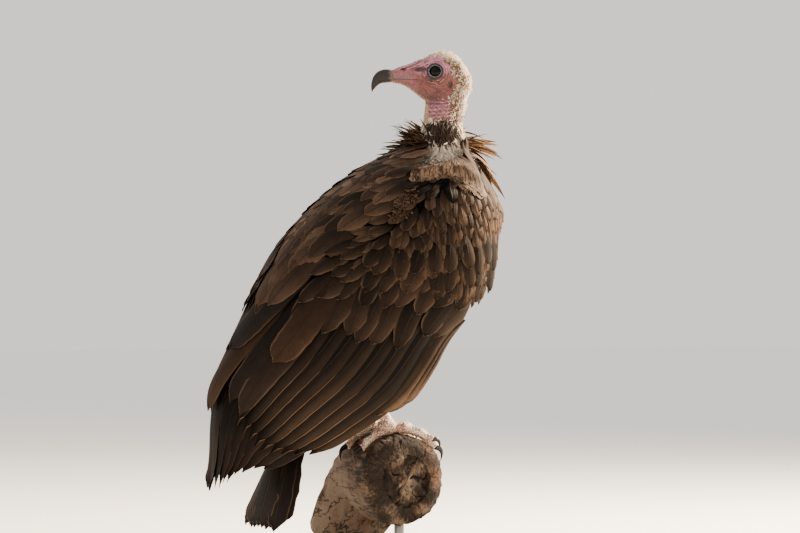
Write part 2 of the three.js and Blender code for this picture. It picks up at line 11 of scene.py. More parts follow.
import bpy
import numpy as np
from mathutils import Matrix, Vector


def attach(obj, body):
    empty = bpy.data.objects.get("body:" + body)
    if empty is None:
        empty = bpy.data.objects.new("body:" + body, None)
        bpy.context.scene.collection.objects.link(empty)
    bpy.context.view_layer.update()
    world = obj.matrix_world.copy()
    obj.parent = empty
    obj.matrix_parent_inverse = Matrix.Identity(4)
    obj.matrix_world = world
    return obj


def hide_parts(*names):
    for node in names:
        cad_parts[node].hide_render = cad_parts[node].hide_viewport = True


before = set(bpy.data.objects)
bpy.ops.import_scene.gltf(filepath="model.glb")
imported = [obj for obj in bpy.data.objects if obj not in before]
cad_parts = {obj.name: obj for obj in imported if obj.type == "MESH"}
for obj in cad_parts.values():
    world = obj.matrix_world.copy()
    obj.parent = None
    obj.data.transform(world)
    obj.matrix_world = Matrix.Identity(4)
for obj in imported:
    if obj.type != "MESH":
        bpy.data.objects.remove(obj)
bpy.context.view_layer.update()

MM = 0.001
TURN = 2 * math.pi
BAKE_PATCH = 0.003  # how wide each feather lies on the bake map
SIDEWAYS = np.array([1.0, 0.0, 0.0])
UPWARDS = np.array([0.0, 0.0, 1.0])
OPENING = (17.7, 4.9)  # of the lids, forward and up from the middle of the skull

log = logging.getLogger("vulture")

Numbers = np.ndarray | float
Piece = bpy.types.Object
Stations = Sequence[tuple[float, float]]
Path = Sequence[tuple[float, ...]]
Colour = tuple[float, float, float]


# ---------------------------------------------------------------- numbers
def tint(*screen: float) -> Colour:
    """Gives the linear colour for screen red, green and blue from 0 to 255."""
    return tuple(s / 255 / 12.92 if s / 255 < 0.04045 else ((s / 255 + 0.055) / 1.055) ** 2.4 for s in screen)


def blend(low: Numbers, high: Numbers, share: Numbers) -> np.ndarray:
    """Gives the mix of two values, low at share 0 and high at share 1."""
    return np.asarray(low) * (1 - np.asarray(share)) + np.asarray(high) * np.asarray(share)


def ease(value: Numbers, start: float, end: float) -> np.ndarray:
    """Gives a smooth step that leaves 0 at start and reaches 1 at end."""
    share = np.clip((np.asarray(value, float) - start) / (end - start), 0, 1)
    return share * share * (3 - 2 * share)


def hill(value: Numbers, middle: Numbers, width: float) -> np.ndarray:
    """Gives a round hill of height 1 over its middle."""
    return np.exp(-(((value - middle) / width) ** 2))


def unit(vectors: np.ndarray) -> np.ndarray:
    """Gives the same directions at length one."""
    return vectors / np.maximum(np.linalg.norm(vectors, axis=-1, keepdims=True), 1e-9)


def turned_from(bearing: np.ndarray, middle: Numbers) -> np.ndarray:
    """Gives how far each bearing is turned from a middle one, from minus to plus half a turn."""
    return (bearing - middle + math.pi) % TURN - math.pi


def circle(sides: int) -> np.ndarray:
    """Gives evenly spaced angles round a full turn."""
    return np.linspace(0, TURN, sides, endpoint=False)


class Profile:
    """A smooth curve y(x) through stations, level beyond its ends."""

    def __init__(self, stations: Stations) -> None:
        """Keeps the stations and their slopes.

        Args:
            stations: Pairs of x and y, rising in x.
        """
        self.x, self.y = np.array(stations, float).T
        order = np.arange(len(self.x))
        before, after = np.maximum(order - 1, 0), np.minimum(order + 1, len(self.x) - 1)
        self.slope = (self.y[after] - self.y[before]) / (self.x[after] - self.x[before])

    def __call__(self, x: Numbers) -> np.ndarray:
        """Reads the curve.

        Args:
            x: Where to read it.

        Returns:
            The curve's height there.
        """
        at = np.clip(np.asarray(x, float), self.x[0], self.x[-1])
        i = np.clip(np.searchsorted(self.x, at, side="right") - 1, 0, len(self.x) - 2)
        step = self.x[i + 1] - self.x[i]
        u = (at - self.x[i]) / step
        rise = (2 * u**3 - 3 * u**2 + 1) * self.y[i] + (3 * u**2 - 2 * u**3) * self.y[i + 1]
        bend = (u**3 - 2 * u**2 + u) * self.slope[i] + (u**3 - u**2) * self.slope[i + 1]
        return rise + step * bend


class Ripple:
    """A smooth random field in space, made of plane waves."""

    def __init__(self, seed: int, size: float, waves: int = 24) -> None:
        """Draws the waves.

        Args:
            seed: The random seed.
            size: The usual width of a swell, in millimetres.
            waves: How many waves are added up.
        """
        rng = np.random.default_rng(seed)
        heading = unit(rng.normal(size=(waves, 3)))
        self.waves = heading * (TURN / (size * rng.uniform(0.8, 2.4, (waves, 1))))
        self.phase = rng.uniform(0, TURN, waves)
        self.scale = math.sqrt(2 / waves)

    def __call__(self, points: np.ndarray) -> np.ndarray:
        """Reads the field at places in millimetres; it lies mostly between -1.5 and 1.5."""
        return np.sin(points @ self.waves.T + self.phase).sum(-1) * self.scale


# ---------------------------------------------------------------- meshes
class Bench:
    """Makes, joins and hands over meshes."""

    @staticmethod
    def pick(*pieces: Piece) -> None:
        """Selects these pieces alone and makes the first one active."""
        bpy.ops.object.select_all(action="DESELECT")
        for piece in pieces:
            piece.select_set(True)
        bpy.context.view_layer.objects.active = pieces[0] if pieces else None

    @staticmethod
    def mesh(name: str, points: np.ndarray, quads: np.ndarray) -> Piece:
        """Makes a smooth mesh from points and quads.

        Args:
            name: The piece's name.
            points: Places in millimetres, along the last axis.
            quads: Four point numbers for each face, along the last axis.

        Returns:
            The new piece, at the origin.
        """
        points = points.reshape(-1, 3)
        data = bpy.data.meshes.new(name)
        data.vertices.add(len(points))
        data.vertices.foreach_set("co", (points * MM).astype(np.float32).ravel())
        data.loops.add(quads.size)
        data.loops.foreach_set("vertex_index", quads.astype(np.int32).ravel())
        data.polygons.add(quads.size // 4)
        data.polygons.foreach_set("loop_start", np.arange(0, quads.size, 4, dtype=np.int32))
        data.update(calc_edges=True)
        data.shade_smooth()
        piece = bpy.data.objects.new(name, data)
        bpy.context.scene.collection.objects.link(piece)
        return piece

    @classmethod
    def hoop(cls, name: str, rings: np.ndarray, closed: bool) -> Piece:
        """Joins rings of points into one skin with its faces outwards.

        Args:
            name: The piece's name.
            rings: Points of shape (rings, sides, 3), in millimetres.
            closed: Whether the last ring joins the first; otherwise both ends get a face.

        Returns:
            The new piece.
        """
        count, sides = rings.shape[:2]
        r, s = np.meshgrid(np.arange(count if closed else count - 1), np.arange(sides), indexing="ij")
        n, t = (r + 1) % count, (s + 1) % sides
        piece = cls.mesh(name, rings, np.stack([r * sides + s, r * sides + t, n * sides + t, n * sides + s], -1))
        cls.pick(piece)
        bpy.ops.object.mode_set(mode="EDIT")
        if not closed:
            bpy.ops.mesh.select_mode(type="EDGE")
            bpy.ops.mesh.select_all(action="DESELECT")
            bpy.ops.mesh.select_non_manifold()
            bpy.ops.mesh.edge_face_add()
        bpy.ops.mesh.select_all(action="SELECT")
        bpy.ops.mesh.normals_make_consistent(inside=False)
        bpy.ops.object.mode_set(mode="OBJECT")
        return piece

    @classmethod
    def loft(cls, name: str, rings: np.ndarray) -> Piece:
        """Joins rings of points, of shape (rings, sides, 3), into one body whose ends are closed by shrinking rings."""
        ends = [rings[i].mean(0) + (rings[i] - rings[i].mean(0)) * 0.02 for i in (0, -1)]
        return cls.hoop(name, np.concatenate([ends[0][None], rings, ends[1][None]]), False)

    @classmethod
    def made(cls, name: str) -> Piece:
        """Names the primitive that was just added and puts its place into its mesh.

        Args:
            name: The piece's name.

        Returns:
            The piece, at the origin.
        """
        piece = bpy.context.active_object
        piece.name = name
        bpy.ops.object.transform_apply(location=True, rotation=True, scale=True)
        return piece

    @classmethod
    def join(cls, pieces: Sequence[Piece], name: str) -> Piece:
        """Joins pieces into the first of them.

        Args:
            pieces: The pieces.
            name: The joined piece's name.

        Returns:
            The joined piece.
        """
        cls.pick(*pieces)
        bpy.ops.object.join()
        pieces[0].name = name
        return pieces[0]

    @classmethod
    def modify(cls, piece: Piece, kind: str, **settings: object) -> None:
        """Adds a modifier and applies it.

        Args:
            piece: The piece to change.
            kind: The modifier's type.
            **settings: Its settings.
        """
        cls.pick(piece)
        modifier = piece.modifiers.new(kind.title(), kind)
        for key, value in settings.items():
            setattr(modifier, key, value)
        bpy.ops.object.modifier_apply(modifier=modifier.name)

    @classmethod
    def fuse(cls, masses: Sequence[Piece], name: str, voxel: float, rounds: int) -> Piece:
        """Joins masses into one closed skin and smooths it.

        Args:
            masses: The closed masses.
            name: The skin's name.
            voxel: The size of its faces in millimetres.
            rounds: How often it is smoothed.

        Returns:
            The skin.
        """
        piece = cls.join(masses, name)
        cls.modify(piece, "REMESH", mode="VOXEL", voxel_size=voxel * MM, use_smooth_shade=True)
        cls.modify(piece, "SMOOTH", factor=0.5, iterations=rounds)
        return piece

    @classmethod
    def crease(cls, piece: Piece, degrees: float) -> None:
        """Shades a piece smooth, but for edges sharper than an angle."""
        cls.pick(piece)
        bpy.ops.object.shade_smooth_by_angle(angle=math.radians(degrees))

    @staticmethod
    def read(layer: bpy.types.bpy_prop_collection, key: str) -> np.ndarray:
        """Reads three numbers for each item of a mesh layer."""
        flat = np.empty(len(layer) * 3, np.float32)
        layer.foreach_get(key, flat)
        return flat.reshape(-1, 3).astype(float)

    @classmethod
    def points(cls, piece: Piece) -> np.ndarray:
        """Gives a piece's points in millimetres."""
        return cls.read(piece.data.vertices, "co") / MM

    @classmethod
    def normals(cls, piece: Piece) -> np.ndarray:
        """Gives the directions in which a piece's points face."""
        return cls.read(piece.data.vertex_normals, "vector")

    @staticmethod
    def move(piece: Piece, points: np.ndarray) -> None:
        """Puts a piece's points in new places, in millimetres."""
        piece.data.vertices.foreach_set("co", (points * MM).astype(np.float32).ravel())
        piece.data.update()

    @staticmethod
    def note(piece: Piece, name: str, values: np.ndarray) -> None:
        """Writes a value onto each point, for its finish to read.

        Args:
            piece: The piece to mark.
            name: The attribute's name.
            values: One number, or three for a colour or place, for each point.
        """
        values = np.asarray(values, np.float32)
        kind, key = ("FLOAT", "value") if values.ndim == 1 else ("FLOAT_VECTOR", "vector")
        piece.data.attributes.new(name, kind, "POINT").data.foreach_set(key, values.ravel())

    @staticmethod
    def map_out(piece: Piece, name: str, places: np.ndarray, shown: bool = True) -> None:
        """Adds a UV map.

        Args:
            piece: The piece to unwrap.
            name: The map's name.
            places: The place on the map of each point.
            shown: Whether renders use this map by default.
        """
        layer = piece.data.uv_layers.new(name=name, do_init=False)
        corner = np.empty(len(piece.data.loops), np.int32)
        piece.data.loops.foreach_get("vertex_index", corner)
        layer.uv.foreach_set("vector", places[corner].astype(np.float32).ravel())
        if shown:
            layer.active_render = layer.active = True

    @staticmethod
    def hand_over(piece: Piece, slot: str, finish: "Finish", *nodes: str) -> Piece:
        """Dresses a finished piece and hides the plain solids that it replaces.

        Args:
            piece: The finished piece.
            slot: The material slot of the record that it takes its finish from; not used.
            finish: Its finish.
            *nodes: The plain solids that it replaces.

        Returns:
            The same piece.
        """
        piece.data.materials.clear()
        piece.data.materials.append(finish.make())
        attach(piece, "root")
        if nodes:
            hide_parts(*nodes)
        log.info("%s: %d triangles", piece.name, sum(len(face.vertices) - 2 for face in piece.data.polygons))
        return piece


def sweep(path: Path, across: np.ndarray, rings: int, sides: int, roundness: float = 1.0) -> np.ndarray:
    """Sweeps a rounded section along a path.

    Args:
        path: Stations of x, y, z, half width, half height above and half height below.
        across: The direction of the half width.
        rings: How many rings to make.
        sides: How many points a ring has.
        roundness: Exponent of the section, 1 for an ellipse.

    Returns:
        Rings of points, of shape (rings, sides, 3).
    """
    table = np.array(path, float)
    knots = np.arange(len(table), dtype=float)
    share = np.linspace(0, knots[-1], rings)
    x, y, z, wide, above, below = (Profile(list(zip(knots, column)))(share) for column in table.T)
    centre = np.stack([x, y, z], -1)
    rise = unit(np.cross(unit(np.gradient(centre, axis=0)), across))
    for i in range(1, rings):
        if rise[i] @ rise[i - 1] < 0:
            rise[i] = -rise[i]
    angle = np.arange(sides) * TURN / sides
    c, s = np.cos(angle), np.sin(angle)
    c, s = np.sign(c) * abs(c) ** roundness, np.sign(s) * abs(s) ** roundness
    height = np.where(s > 0, above[:, None] * s, below[:, None] * s)
    return centre[:, None] + wide[:, None, None] * c[None, :, None] * across + height[..., None] * rise[:, None]


# ---------------------------------------------------------------- finishes
class Wire:
    """One socket's value, on which sums and products add Math nodes."""

    def __init__(self, recipe: "Recipe", socket: bpy.types.NodeSocket) -> None:
        """Keeps the socket and the recipe that it belongs to."""
        self.recipe, self.socket = recipe, socket

    def _math(self, operation: str, *values: "Wire | float", clamp: bool = False) -> "Wire":
        """Adds a Math node of this operation with these inputs, and clamps its result to 0..1 if asked to."""
        settings = {"operation": operation, "use_clamp": clamp}
        return self.recipe.node("Math", settings, **{f"_{i}": v for i, v in enumerate(values)})

    def __add__(self, other: "Wire | float") -> "Wire":
        """Adds."""
        return self._math("ADD", self, other)

    def __mul__(self, other: "Wire | float") -> "Wire":
        """Multiplies."""
        return self._math("MULTIPLY", self, other)

    __radd__, __rmul__ = __add__, __mul__

    def __sub__(self, other: "Wire | float") -> "Wire":
        """Takes away."""
        return self._math("SUBTRACT", self, other)

    def __rsub__(self, other: "Wire | float") -> "Wire":
        """Is taken away from a number."""
        return self._math("SUBTRACT", other, self)

    def __truediv__(self, other: "Wire | float") -> "Wire":
        """Divides."""
        return self._math("DIVIDE", self, other)

    def __pow__(self, other: "Wire | float") -> "Wire":
        """Raises to a power."""
        return self._math("POWER", self, other)

    def __abs__(self) -> "Wire":
        """Drops the sign."""
        return self._math("ABSOLUTE", self)

    def wave(self) -> "Wire":
        """Gives the sine."""
        return self._math("SINE", self)

    def clamp(self) -> "Wire":
        """Keeps the value between 0 and 1."""
        return self._math("ADD", self, 0.0, clamp=True)

    def larger(self, other: "Wire | float") -> "Wire":
        """Gives the larger of two values."""
        return self._math("MAXIMUM", self, other)

    def step(self, start: float, end: float) -> "Wire":
        """Gives a smooth step.

        Args:
            start: The value at which it leaves 0; it may be the larger one.
            end: The value at which it reaches 1.

        Returns:
            The step's height.
        """
        low, high = min(start, end), max(start, end)
        rising = self.recipe.node(
            "MapRange", {"interpolation_type": "SMOOTHSTEP"}, Value=self, From_Min=low, From_Max=high)
        return rising if start < end else 1.0 - rising


Paint = Wire | Colour


class Recipe:
    """Builds one material's nodes."""

    def __init__(self, name: str) -> None:
        """Starts the material with its shader.

        Args:
            name: The material's name.
        """
        self.material = bpy.data.materials.new(name)
        self.material.use_nodes = True
        self.tree = self.material.node_tree
        self.shader = self.tree.nodes["Principled BSDF"]

    def node(
        self, kind: str, settings: dict[str, object] | None = None, result: str | int = 0, **sockets: object
    ) -> Wire:
        """Adds a node.

        Args:
            kind: The node's type, without its prefix.
            settings: Its own settings, set before its sockets.
            result: The output to give back, by name or number.
            **sockets: Values or wires by socket name, with _ for a blank, or by number as _0.

        Returns:
            The chosen output.
        """
        made = self.tree.nodes.new("ShaderNode" + kind)
        for key, value in (settings or {}).items():
            setattr(made, key, value)
        for key, value in sockets.items():
            target = made.inputs[int(key[1:]) if key[1:].isdigit() else key.replace("_", " ")]
            if isinstance(value, Wire):
                self.tree.links.new(value.socket, target)
            else:
                target.default_value = value
        return Wire(self, made.outputs[result])

    def attribute(self, name: str, result: str = "Fac") -> Wire:
        """Reads a value written on the mesh: Fac for a number, Vector for a place or a colour."""
        return self.node("Attribute", {"attribute_name": name}, result)

    def split(self, vector: Wire) -> tuple[Wire, Wire, Wire]:
        """Takes a vector apart."""
        parts = self.node("SeparateXYZ", _0=vector).socket.node
        return tuple(Wire(self, parts.outputs[i]) for i in range(3))

    def on_map(self, name: str) -> tuple[Wire, Wire]:
        """Gives the two parts of the place on a UV map."""
        return self.split(self.node("UVMap", {"uv_map": name}, "UV"))[:2]

    def join(self, x: Wire | float, y: Wire | float, z: Wire | float = 0.0) -> Wire:
        """Puts a vector together."""
        return self.node("CombineXYZ", X=x, Y=y, Z=z)

    def place(self) -> Wire:
        """Gives the place on the piece, in metres."""
        return self.node("TexCoord", None, "Object")

    def noise(self, at: Wire, scale: float, detail: float = 3.0, rough: float = 0.55) -> Wire:
        """Adds soft noise of about 0.5, with so many swells for each unit of the vector."""
        return self.node("TexNoise", None, "Fac", Vector=at, Scale=scale, Detail=detail, Roughness=rough)

    def seams(self, at: Wire, scale: float) -> Wire:
        """Gives the distance to the seams between cells, of which so many fill a unit of the vector."""
        return self.node("TexVoronoi", {"feature": "DISTANCE_TO_EDGE"}, "Distance", Vector=at, Scale=scale)

    def stretch(self, at: Wire, *scale: float) -> Wire:
        """Scales a place along each axis."""
        return self.node("VectorMath", {"operation": "MULTIPLY"}, _0=at, _1=scale)

    def shade(self, colour: Paint, by: Wire) -> Wire:
        """Makes a colour lighter or darker."""
        return self.node("VectorMath", {"operation": "SCALE"}, _0=colour, Scale=by)

    def paint(self, low: Paint, high: Paint, share: Wire | float) -> Wire:
        """Mixes two colours.

        Args:
            low: The colour at share 0.
            high: The colour at share 1.
            share: How much of the second colour shows.

        Returns:
            The mixed colour.
        """
        low, high = (c if isinstance(c, Wire) else (*c, 1.0) for c in (low, high))
        settings = {"data_type": "RGBA", "blend_type": "MIX", "clamp_factor": True}
        return self.node("Mix", settings, 2, _0=share, _6=low, _7=high)

    def relief(self, *layers: tuple[Wire, float]) -> None:
        """Gives the surface its fine relief.

        Args:
            *layers: Pairs of a height between 0 and 1 and its depth in millimetres.
        """
        total = sum((height * (depth * MM) for height, depth in layers[1:]), layers[0][0] * (layers[0][1] * MM))
        bump = self.node("Bump", None, "Normal", Height=total, Distance=1.0, Strength=1.0)
        self.tree.links.new(bump.socket, self.shader.inputs["Normal"])

    def dress(self, colour: Wire, rough: Wire | float, **constants: float) -> bpy.types.Material:
        """Connects the shader.

        Args:
            colour: The base colour.
            rough: The roughness.
            **constants: Numbers for the shader's other sockets.

        Returns:
            The finished material.
        """
        self.tree.links.new(colour.socket, self.shader.inputs["Base Color"])
        if isinstance(rough, Wire):
            self.tree.links.new(rough.clamp().socket, self.shader.inputs["Roughness"])
        else:
            self.shader.inputs["Roughness"].default_value = rough
        for key, value in constants.items():
            self.shader.inputs[key.replace("_", " ")].default_value = value
        return self.material


class Finish:
    """What a piece is dressed in."""

    def make(self) -> bpy.types.Material:
        """Builds the material.

        Returns:
            The finished material.
        """
        raise NotImplementedError


@dataclass(frozen=True)
class VaneFinish(Finish):
    """Feathers: streaks along the barbs, a quill down the middle, a paler edge from wear that on some tracts also
    carries painted light, and painted shade where neighbours cover them.
    """

    name: str
    fringe: Colour = tint(88, 69, 54)
    quill: Colour = tint(34, 25, 20)
    fringe_width: float = 4.0
    barb_depth: float = 0.10
    streaks: float = 0.55
    roughness: float = 0.6
    root_shadow: float = 0.62
    depth: float = 1.0  # darkens the whole feather

    def make(self) -> bpy.types.Material:
        """Builds the material; see Finish."""
        r = Recipe(self.name)
        u, v = r.on_map("Vane")
        span, breadth = r.attribute("span"), r.attribute("breadth")
        side = abs(u * 2.0 - 1.0)
        out = side * breadth * 0.5
        down = v * span
        seed = r.attribute("seed")
        barbs = r.noise(r.join(down * 1.15 - out * 0.75, out * 0.12, seed * 40.0), 1.0, 2.5, 0.7)
        broad = r.noise(r.join(down * 0.05, out * 0.09, seed * 40.0 + 7.0), 1.0, 2.0)
        quill = (out - (1.0 - v) * 0.35).step(0.75, 0.2)
        ragged = (barbs - 0.5) * 2.2
        edge = (1.0 - side) * breadth * 0.5 + ragged
        tip = (1.0 - v) * span + ragged * 1.3
        rim = edge.step(self.fringe_width, 0.2).larger(tip.step(self.fringe_width * 1.8, 0.4))
        wear_and_light = rim * v.step(0.25, 0.7) * r.attribute("wear_and_light")
        streak = (barbs - 0.5) * (self.streaks * 2.0) + (broad - 0.5) * 0.5 + 1.0
        # Painted shade: darker towards the root, where the feathers above overlap it, and on the half that the
        # neighbour covers.
        painted_overlap_shade = v.step(0.1, 0.75) * self.root_shadow + (1.0 - self.root_shadow)
        lap = r.attribute("lap")
        open_side = ((u * 2.0 - 1.0) * lap).step(-0.1, 0.75) * 0.75 + 0.25
        painted_overlap_shade = painted_overlap_shade * (open_side * abs(lap) + (1.0 - abs(lap)))
        ground = r.shade(r.attribute("shade", "Vector"), streak * painted_overlap_shade)
        coat = r.paint(ground, r.shade(self.fringe, streak), wear_and_light)
        cloud = r.noise(r.place(), 55.0, 3.0) * (0.5 * self.depth) + 0.75 * self.depth
        coat = r.shade(r.paint(coat, self.quill, quill * 0.7), cloud)
        r.relief((barbs, self.barb_depth), (quill, 0.35))
        rough = self.roughness + (barbs - 0.5) * 0.3
        return r.dress(coat, rough, Specular_IOR_Level=0.05)


@dataclass(frozen=True)
class DownFinish(Finish):
    """Down and hair: darker at the root, as painted shade down among the tufts, pale and soft at the tip."""

    name: str
    # The colour at the root: painted shade among the tufts.
    root: Colour
    depth: float = 0.7

    def make(self) -> bpy.types.Material:
        """Builds the material; see Finish."""
        r = Recipe(self.name)
        v = r.on_map("Vane")[1]
        speck = r.noise(r.place(), 900.0, 2.0)
        tone = r.shade(r.attribute("shade", "Vector"), speck * 0.5 + 0.75)
        # Painted shade towards the root.
        coat = r.paint(self.root, tone, v.step(0.0, self.depth) * 0.85 + 0.15)
        r.relief((speck, 0.12))
        return r.dress(coat, 0.85, Sheen_Weight=0.25, Sheen_Roughness=0.5, Specular_IOR_Level=0.15)


@dataclass(frozen=True)
class SkinFinish(Finish):
    """Bare skin of the face and neck, with painted shade in its folds, creases and openings and painted highlights on
    fold crests and the cere, running into the ground beneath the coat.
    """

    name: str = "Bare skin"
    brow: Colour = tint(186, 118, 138)
    cheek: Colour = tint(112, 63, 60)
    bill: Colour = tint(135, 79, 84)
    throat: Colour = tint(154, 99, 109)
    chin: Colour = tint(134, 98, 60)
    # deep colours the veins and is painted shade in the folds, creases, gape and nostril; pale is painted highlight;
    # soot colours the bristles and specks and is painted shade in the ear and under the jaw.
    deep: Colour = tint(72, 24, 26)
    pale: Colour = tint(214, 166, 168)
    soot: Colour = tint(38, 23, 22)
    lid: Colour = tint(30, 24, 25)
    lid_rim: Colour = tint(100, 112, 124)
    tomium: Colour = tint(98, 86, 90)

    @staticmethod
    def spot(f: Wire, u: Wire, centre: Sequence[float], size: Sequence[float], soft: float) -> Wire:
        """Marks an oval of a half length each way on the side of the head, soft by a share of its size."""
        x, y = (f - centre[0]) / size[0], (u - centre[1]) / size[1]
        return (x * x + y * y).step(1.0 + soft, 1.0 - soft)

    def make(self) -> bpy.types.Material:
        """Builds the material; see Finish."""
        r = Recipe(self.name)
        at = r.attribute("head", "Vector")
        f, _, u = r.split(at)
        fine = r.noise(at, 0.9, 4.0, 0.65)
        blotch = r.noise(at, 0.16, 3.0)
        veins = r.noise(r.stretch(at, 0.35, 0.35, 0.9), 1.0, 3.0, 0.6)
        wobble = (blotch - 0.5) * 8.0
        skin = r.paint(self.cheek, self.brow, (u + wobble).step(-1.0, 8.0))
        skin = r.paint(skin, self.bill, (f + wobble * 0.5).step(33.0, 46.0))
        skin = r.paint(skin, self.throat, (u + wobble * 0.4).step(-28.0, -35.0))
        chin = (u + 53.5 - f * 0.76 + wobble * 0.3).step(6.0, 1.5) * f.step(64.0, 54.0) * f.step(22.0, 31.0)
        skin = r.paint(skin, self.chin, chin * 0.8)
        # Painted highlight along the top edge of the cere.
        ridge = (u - 29.3 + f * 0.31 + (fine - 0.5) * 2.0).step(-4.0, -1.0) * f.step(38.0, 46.0)
        skin = r.paint(skin, self.pale, ridge * 0.55)
        skin = r.paint(skin, self.deep, (1.0 - veins).step(0.50, 0.70) * 0.6)
        bend = (blotch - 0.5) * 10.0 + (fine - 0.5) * 2.0
        broken = r.noise(at, 0.16, 2.0, 0.5).step(0.38, 0.52) * 0.75 + 0.25
        neck = (u * 1.45 + bend * 1.4 + f * 0.10).wave() * r.attribute("creased") * broken
        brow = ((u - (30.0 - f) * 0.42) * 1.75 + bend).wave() * f.step(16.0, 24.0) * u.step(5.0, 9.0)
        ahead, above = f - OPENING[0], u - OPENING[1]
        away = (ahead * ahead + above * above) ** 0.5
        eye_folds = (away * 2.1 + bend * 0.8).wave() * away.step(10.4, 12.0) * away.step(19.0, 14.0)
        cheek = ((u * 0.9 - f * 0.7) * 1.3 + bend * 1.6).wave() * u.step(0.0, -8.0) * f.step(40.0, 30.0) * 0.45
        folds = neck + brow * 0.9 + eye_folds * 0.8 + cheek
        # Painted shade in the grooves of the folds and painted highlight on their crests.
        skin = r.paint(skin, self.deep, folds.step(0.3, 0.9) * 0.62)
        skin = r.paint(skin, self.pale, (folds * -1.0).step(0.35, 0.95) * 0.50)
        # Painted shade in the crease along the jaw.
        jaw = abs(u + 17.0 - (f - 16.0) * 0.55 + (blotch - 0.5) * 3.0).step(1.6, 0.2)
        jaw = jaw * f.step(4.0, 14.0) * f.step(38.0, 30.0)
        skin = r.paint(skin, self.deep, jaw * 0.4)
        # Painted shade under the jaw, along the lower edge of the face.
        under = (u - f * 0.42 + 36.0 + (blotch - 0.5) * 6.0).step(7.0, 1.0) * u.step(-33.0, -29.0) * f.step(2.0, 12.0)
        skin = r.paint(skin, self.soot, under * 0.35)
        throat = abs(u + 34.0 + (blotch - 0.5) * 3.0).step(1.8, 0.3)
        skin = r.paint(skin, self.deep, throat * 0.55)
        speckle = r.noise(at, 0.42, 3.0, 0.75)
        skin = r.shade(skin, (fine - 0.5) * 1.1 + (blotch - 0.5) * 1.2 + (speckle - 0.5) * 0.9 + 1.0)
        # Painted shade in the opening of the nostril.
        nostril = self.spot(f, u, (56.0, 8.0), (3.6, 1.5), 0.5)
        skin = r.paint(skin, self.deep, nostril * 0.95)
        # Painted shade in the opening of the ear.
        ear = self.spot(f + (fine - 0.5) * 3.0, u, (-0.6, -10.8), (2.9, 4.6), 0.7)
        skin = r.paint(skin, self.soot, ear * 0.8)
        bristle = r.noise(r.stretch(at, 0.35, 0.35, 1.6), 1.0, 3.0, 0.7)
        lores = self.spot(f + (bristle - 0.5) * 12.0, u + (bristle - 0.5) * 3.0, (35.0, 7.4), (9.0, 3.2), 0.8)
        skin = r.paint(skin, self.soot, lores * (bristle.step(0.3, 0.45) * 0.5 + 0.45))
        specks = self.spot(f, u, (24.0, -4.2), (8.0, 3.4), 0.6) * speckle.step(0.44, 0.54)
        skin = r.paint(skin, self.soot, specks * 0.8)
        line = abs(u + 1.6 - (f - 55.0) * 0.03 + (fine - 0.5) * 1.6)
        grey = (line / ((f - 38.0) * 0.10 + 0.9).larger(0.5)).step(1.0, 0.4) * f.step(37.0, 48.0)
        skin = r.paint(skin, self.tomium, grey * 0.8)
        # Painted shade in the line of the gape.
        mouth = abs(u + 4.4 - (f - 55.0) * 0.03 + (fine - 0.5) * 0.8).step(0.9, 0.1) * f.step(34.0, 44.0)
        skin = r.paint(skin, self.deep, mouth * 0.8)
        lid = r.attribute("lid") + (fine - 0.5) * 0.5
        skin = r.paint(skin, self.lid, lid.step(0.5, 2.0) * lid.step(10.9, 9.6))
        rim = lid.step(6.9, 7.15) * lid.step(7.8, 7.45) * ((u - f * 0.6).step(4.0, -12.0) * 0.5 + 0.5)
        skin = r.paint(skin, self.lid_rim, rim)
        coat = r.paint(r.attribute("shade", "Vector"), skin, r.attribute("bare"))
        wrinkles = r.noise(r.stretch(at, 0.22, 0.22, 1.3), 1.0, 3.0, 0.6)
        creased = r.attribute("creased")
        pores = r.seams(at, 1.1)
        r.relief((fine, 0.5), (wrinkles * creased, 1.0), (pores, 0.15), (folds * -0.5 + 0.5, 1.1), (speckle, 0.8))
        rough = 0.95 + (fine - 0.5) * 0.3 - r.attribute("bare") * 0.43
        return r.dress(coat, rough, Subsurface_Weight=0.12, Subsurface_Scale=0.004, Specular_IOR_Level=0.45)


@dataclass(frozen=True)
class HornFinish(Finish):
    """Horn of the bill and claws, streaked along its length and paler near the root; on the bill the pale part stays on
    the upper side, a painted highlight along the top.
    """

    name: str
    dark: Colour = tint(36, 31, 30)
    pale: Colour = tint(98, 82, 75)
    pale_end: float = 0.38
    roughness: float = 0.5

    def make(self) -> bpy.types.Material:
        """Builds the material; see Finish."""
        r = Recipe(self.name)
        along = r.on_map("Length")[1]
        grain = r.noise(r.stretch(r.place(), 900.0, 900.0, 350.0), 1.0, 3.0)
        cloud = r.noise(r.place(), 160.0, 3.0)
        tone = r.paint(self.pale, self.dark, (along + (cloud - 0.5) * 0.5).step(0.0, self.pale_end))
        tone = r.shade(tone, grain * 0.5 + 0.75)
        r.relief((grain, 0.06))
        return r.dress(tone, self.roughness + (grain - 0.5) * 0.25, Specular_IOR_Level=0.25)


@dataclass(frozen=True)
class EyeFinish(Finish):
    """A near-black eye under a clear, wet surface, with a very dark brown iris."""

    name: str = "Eye"
    pupil: Colour = tint(4, 4, 4)
    iris: Colour = tint(26, 15, 10)

    def make(self) -> bpy.types.Material:
        """Builds the material; see Finish."""
        r = Recipe(self.name)
        reach = r.attribute("reach")
        rays = r.noise(r.place(), 1500.0, 3.0)
        ring = reach.step(0.40, 0.46) * (rays * 0.8 + 0.4)
        tone = r.paint(self.pupil, self.iris, ring)
        tone = r.paint(tone, self.pupil, reach.step(0.66, 0.76))
        return r.dress(tone, 0.2, Coat_Weight=0.22, Coat_Roughness=0.03, Specular_IOR_Level=0.0)


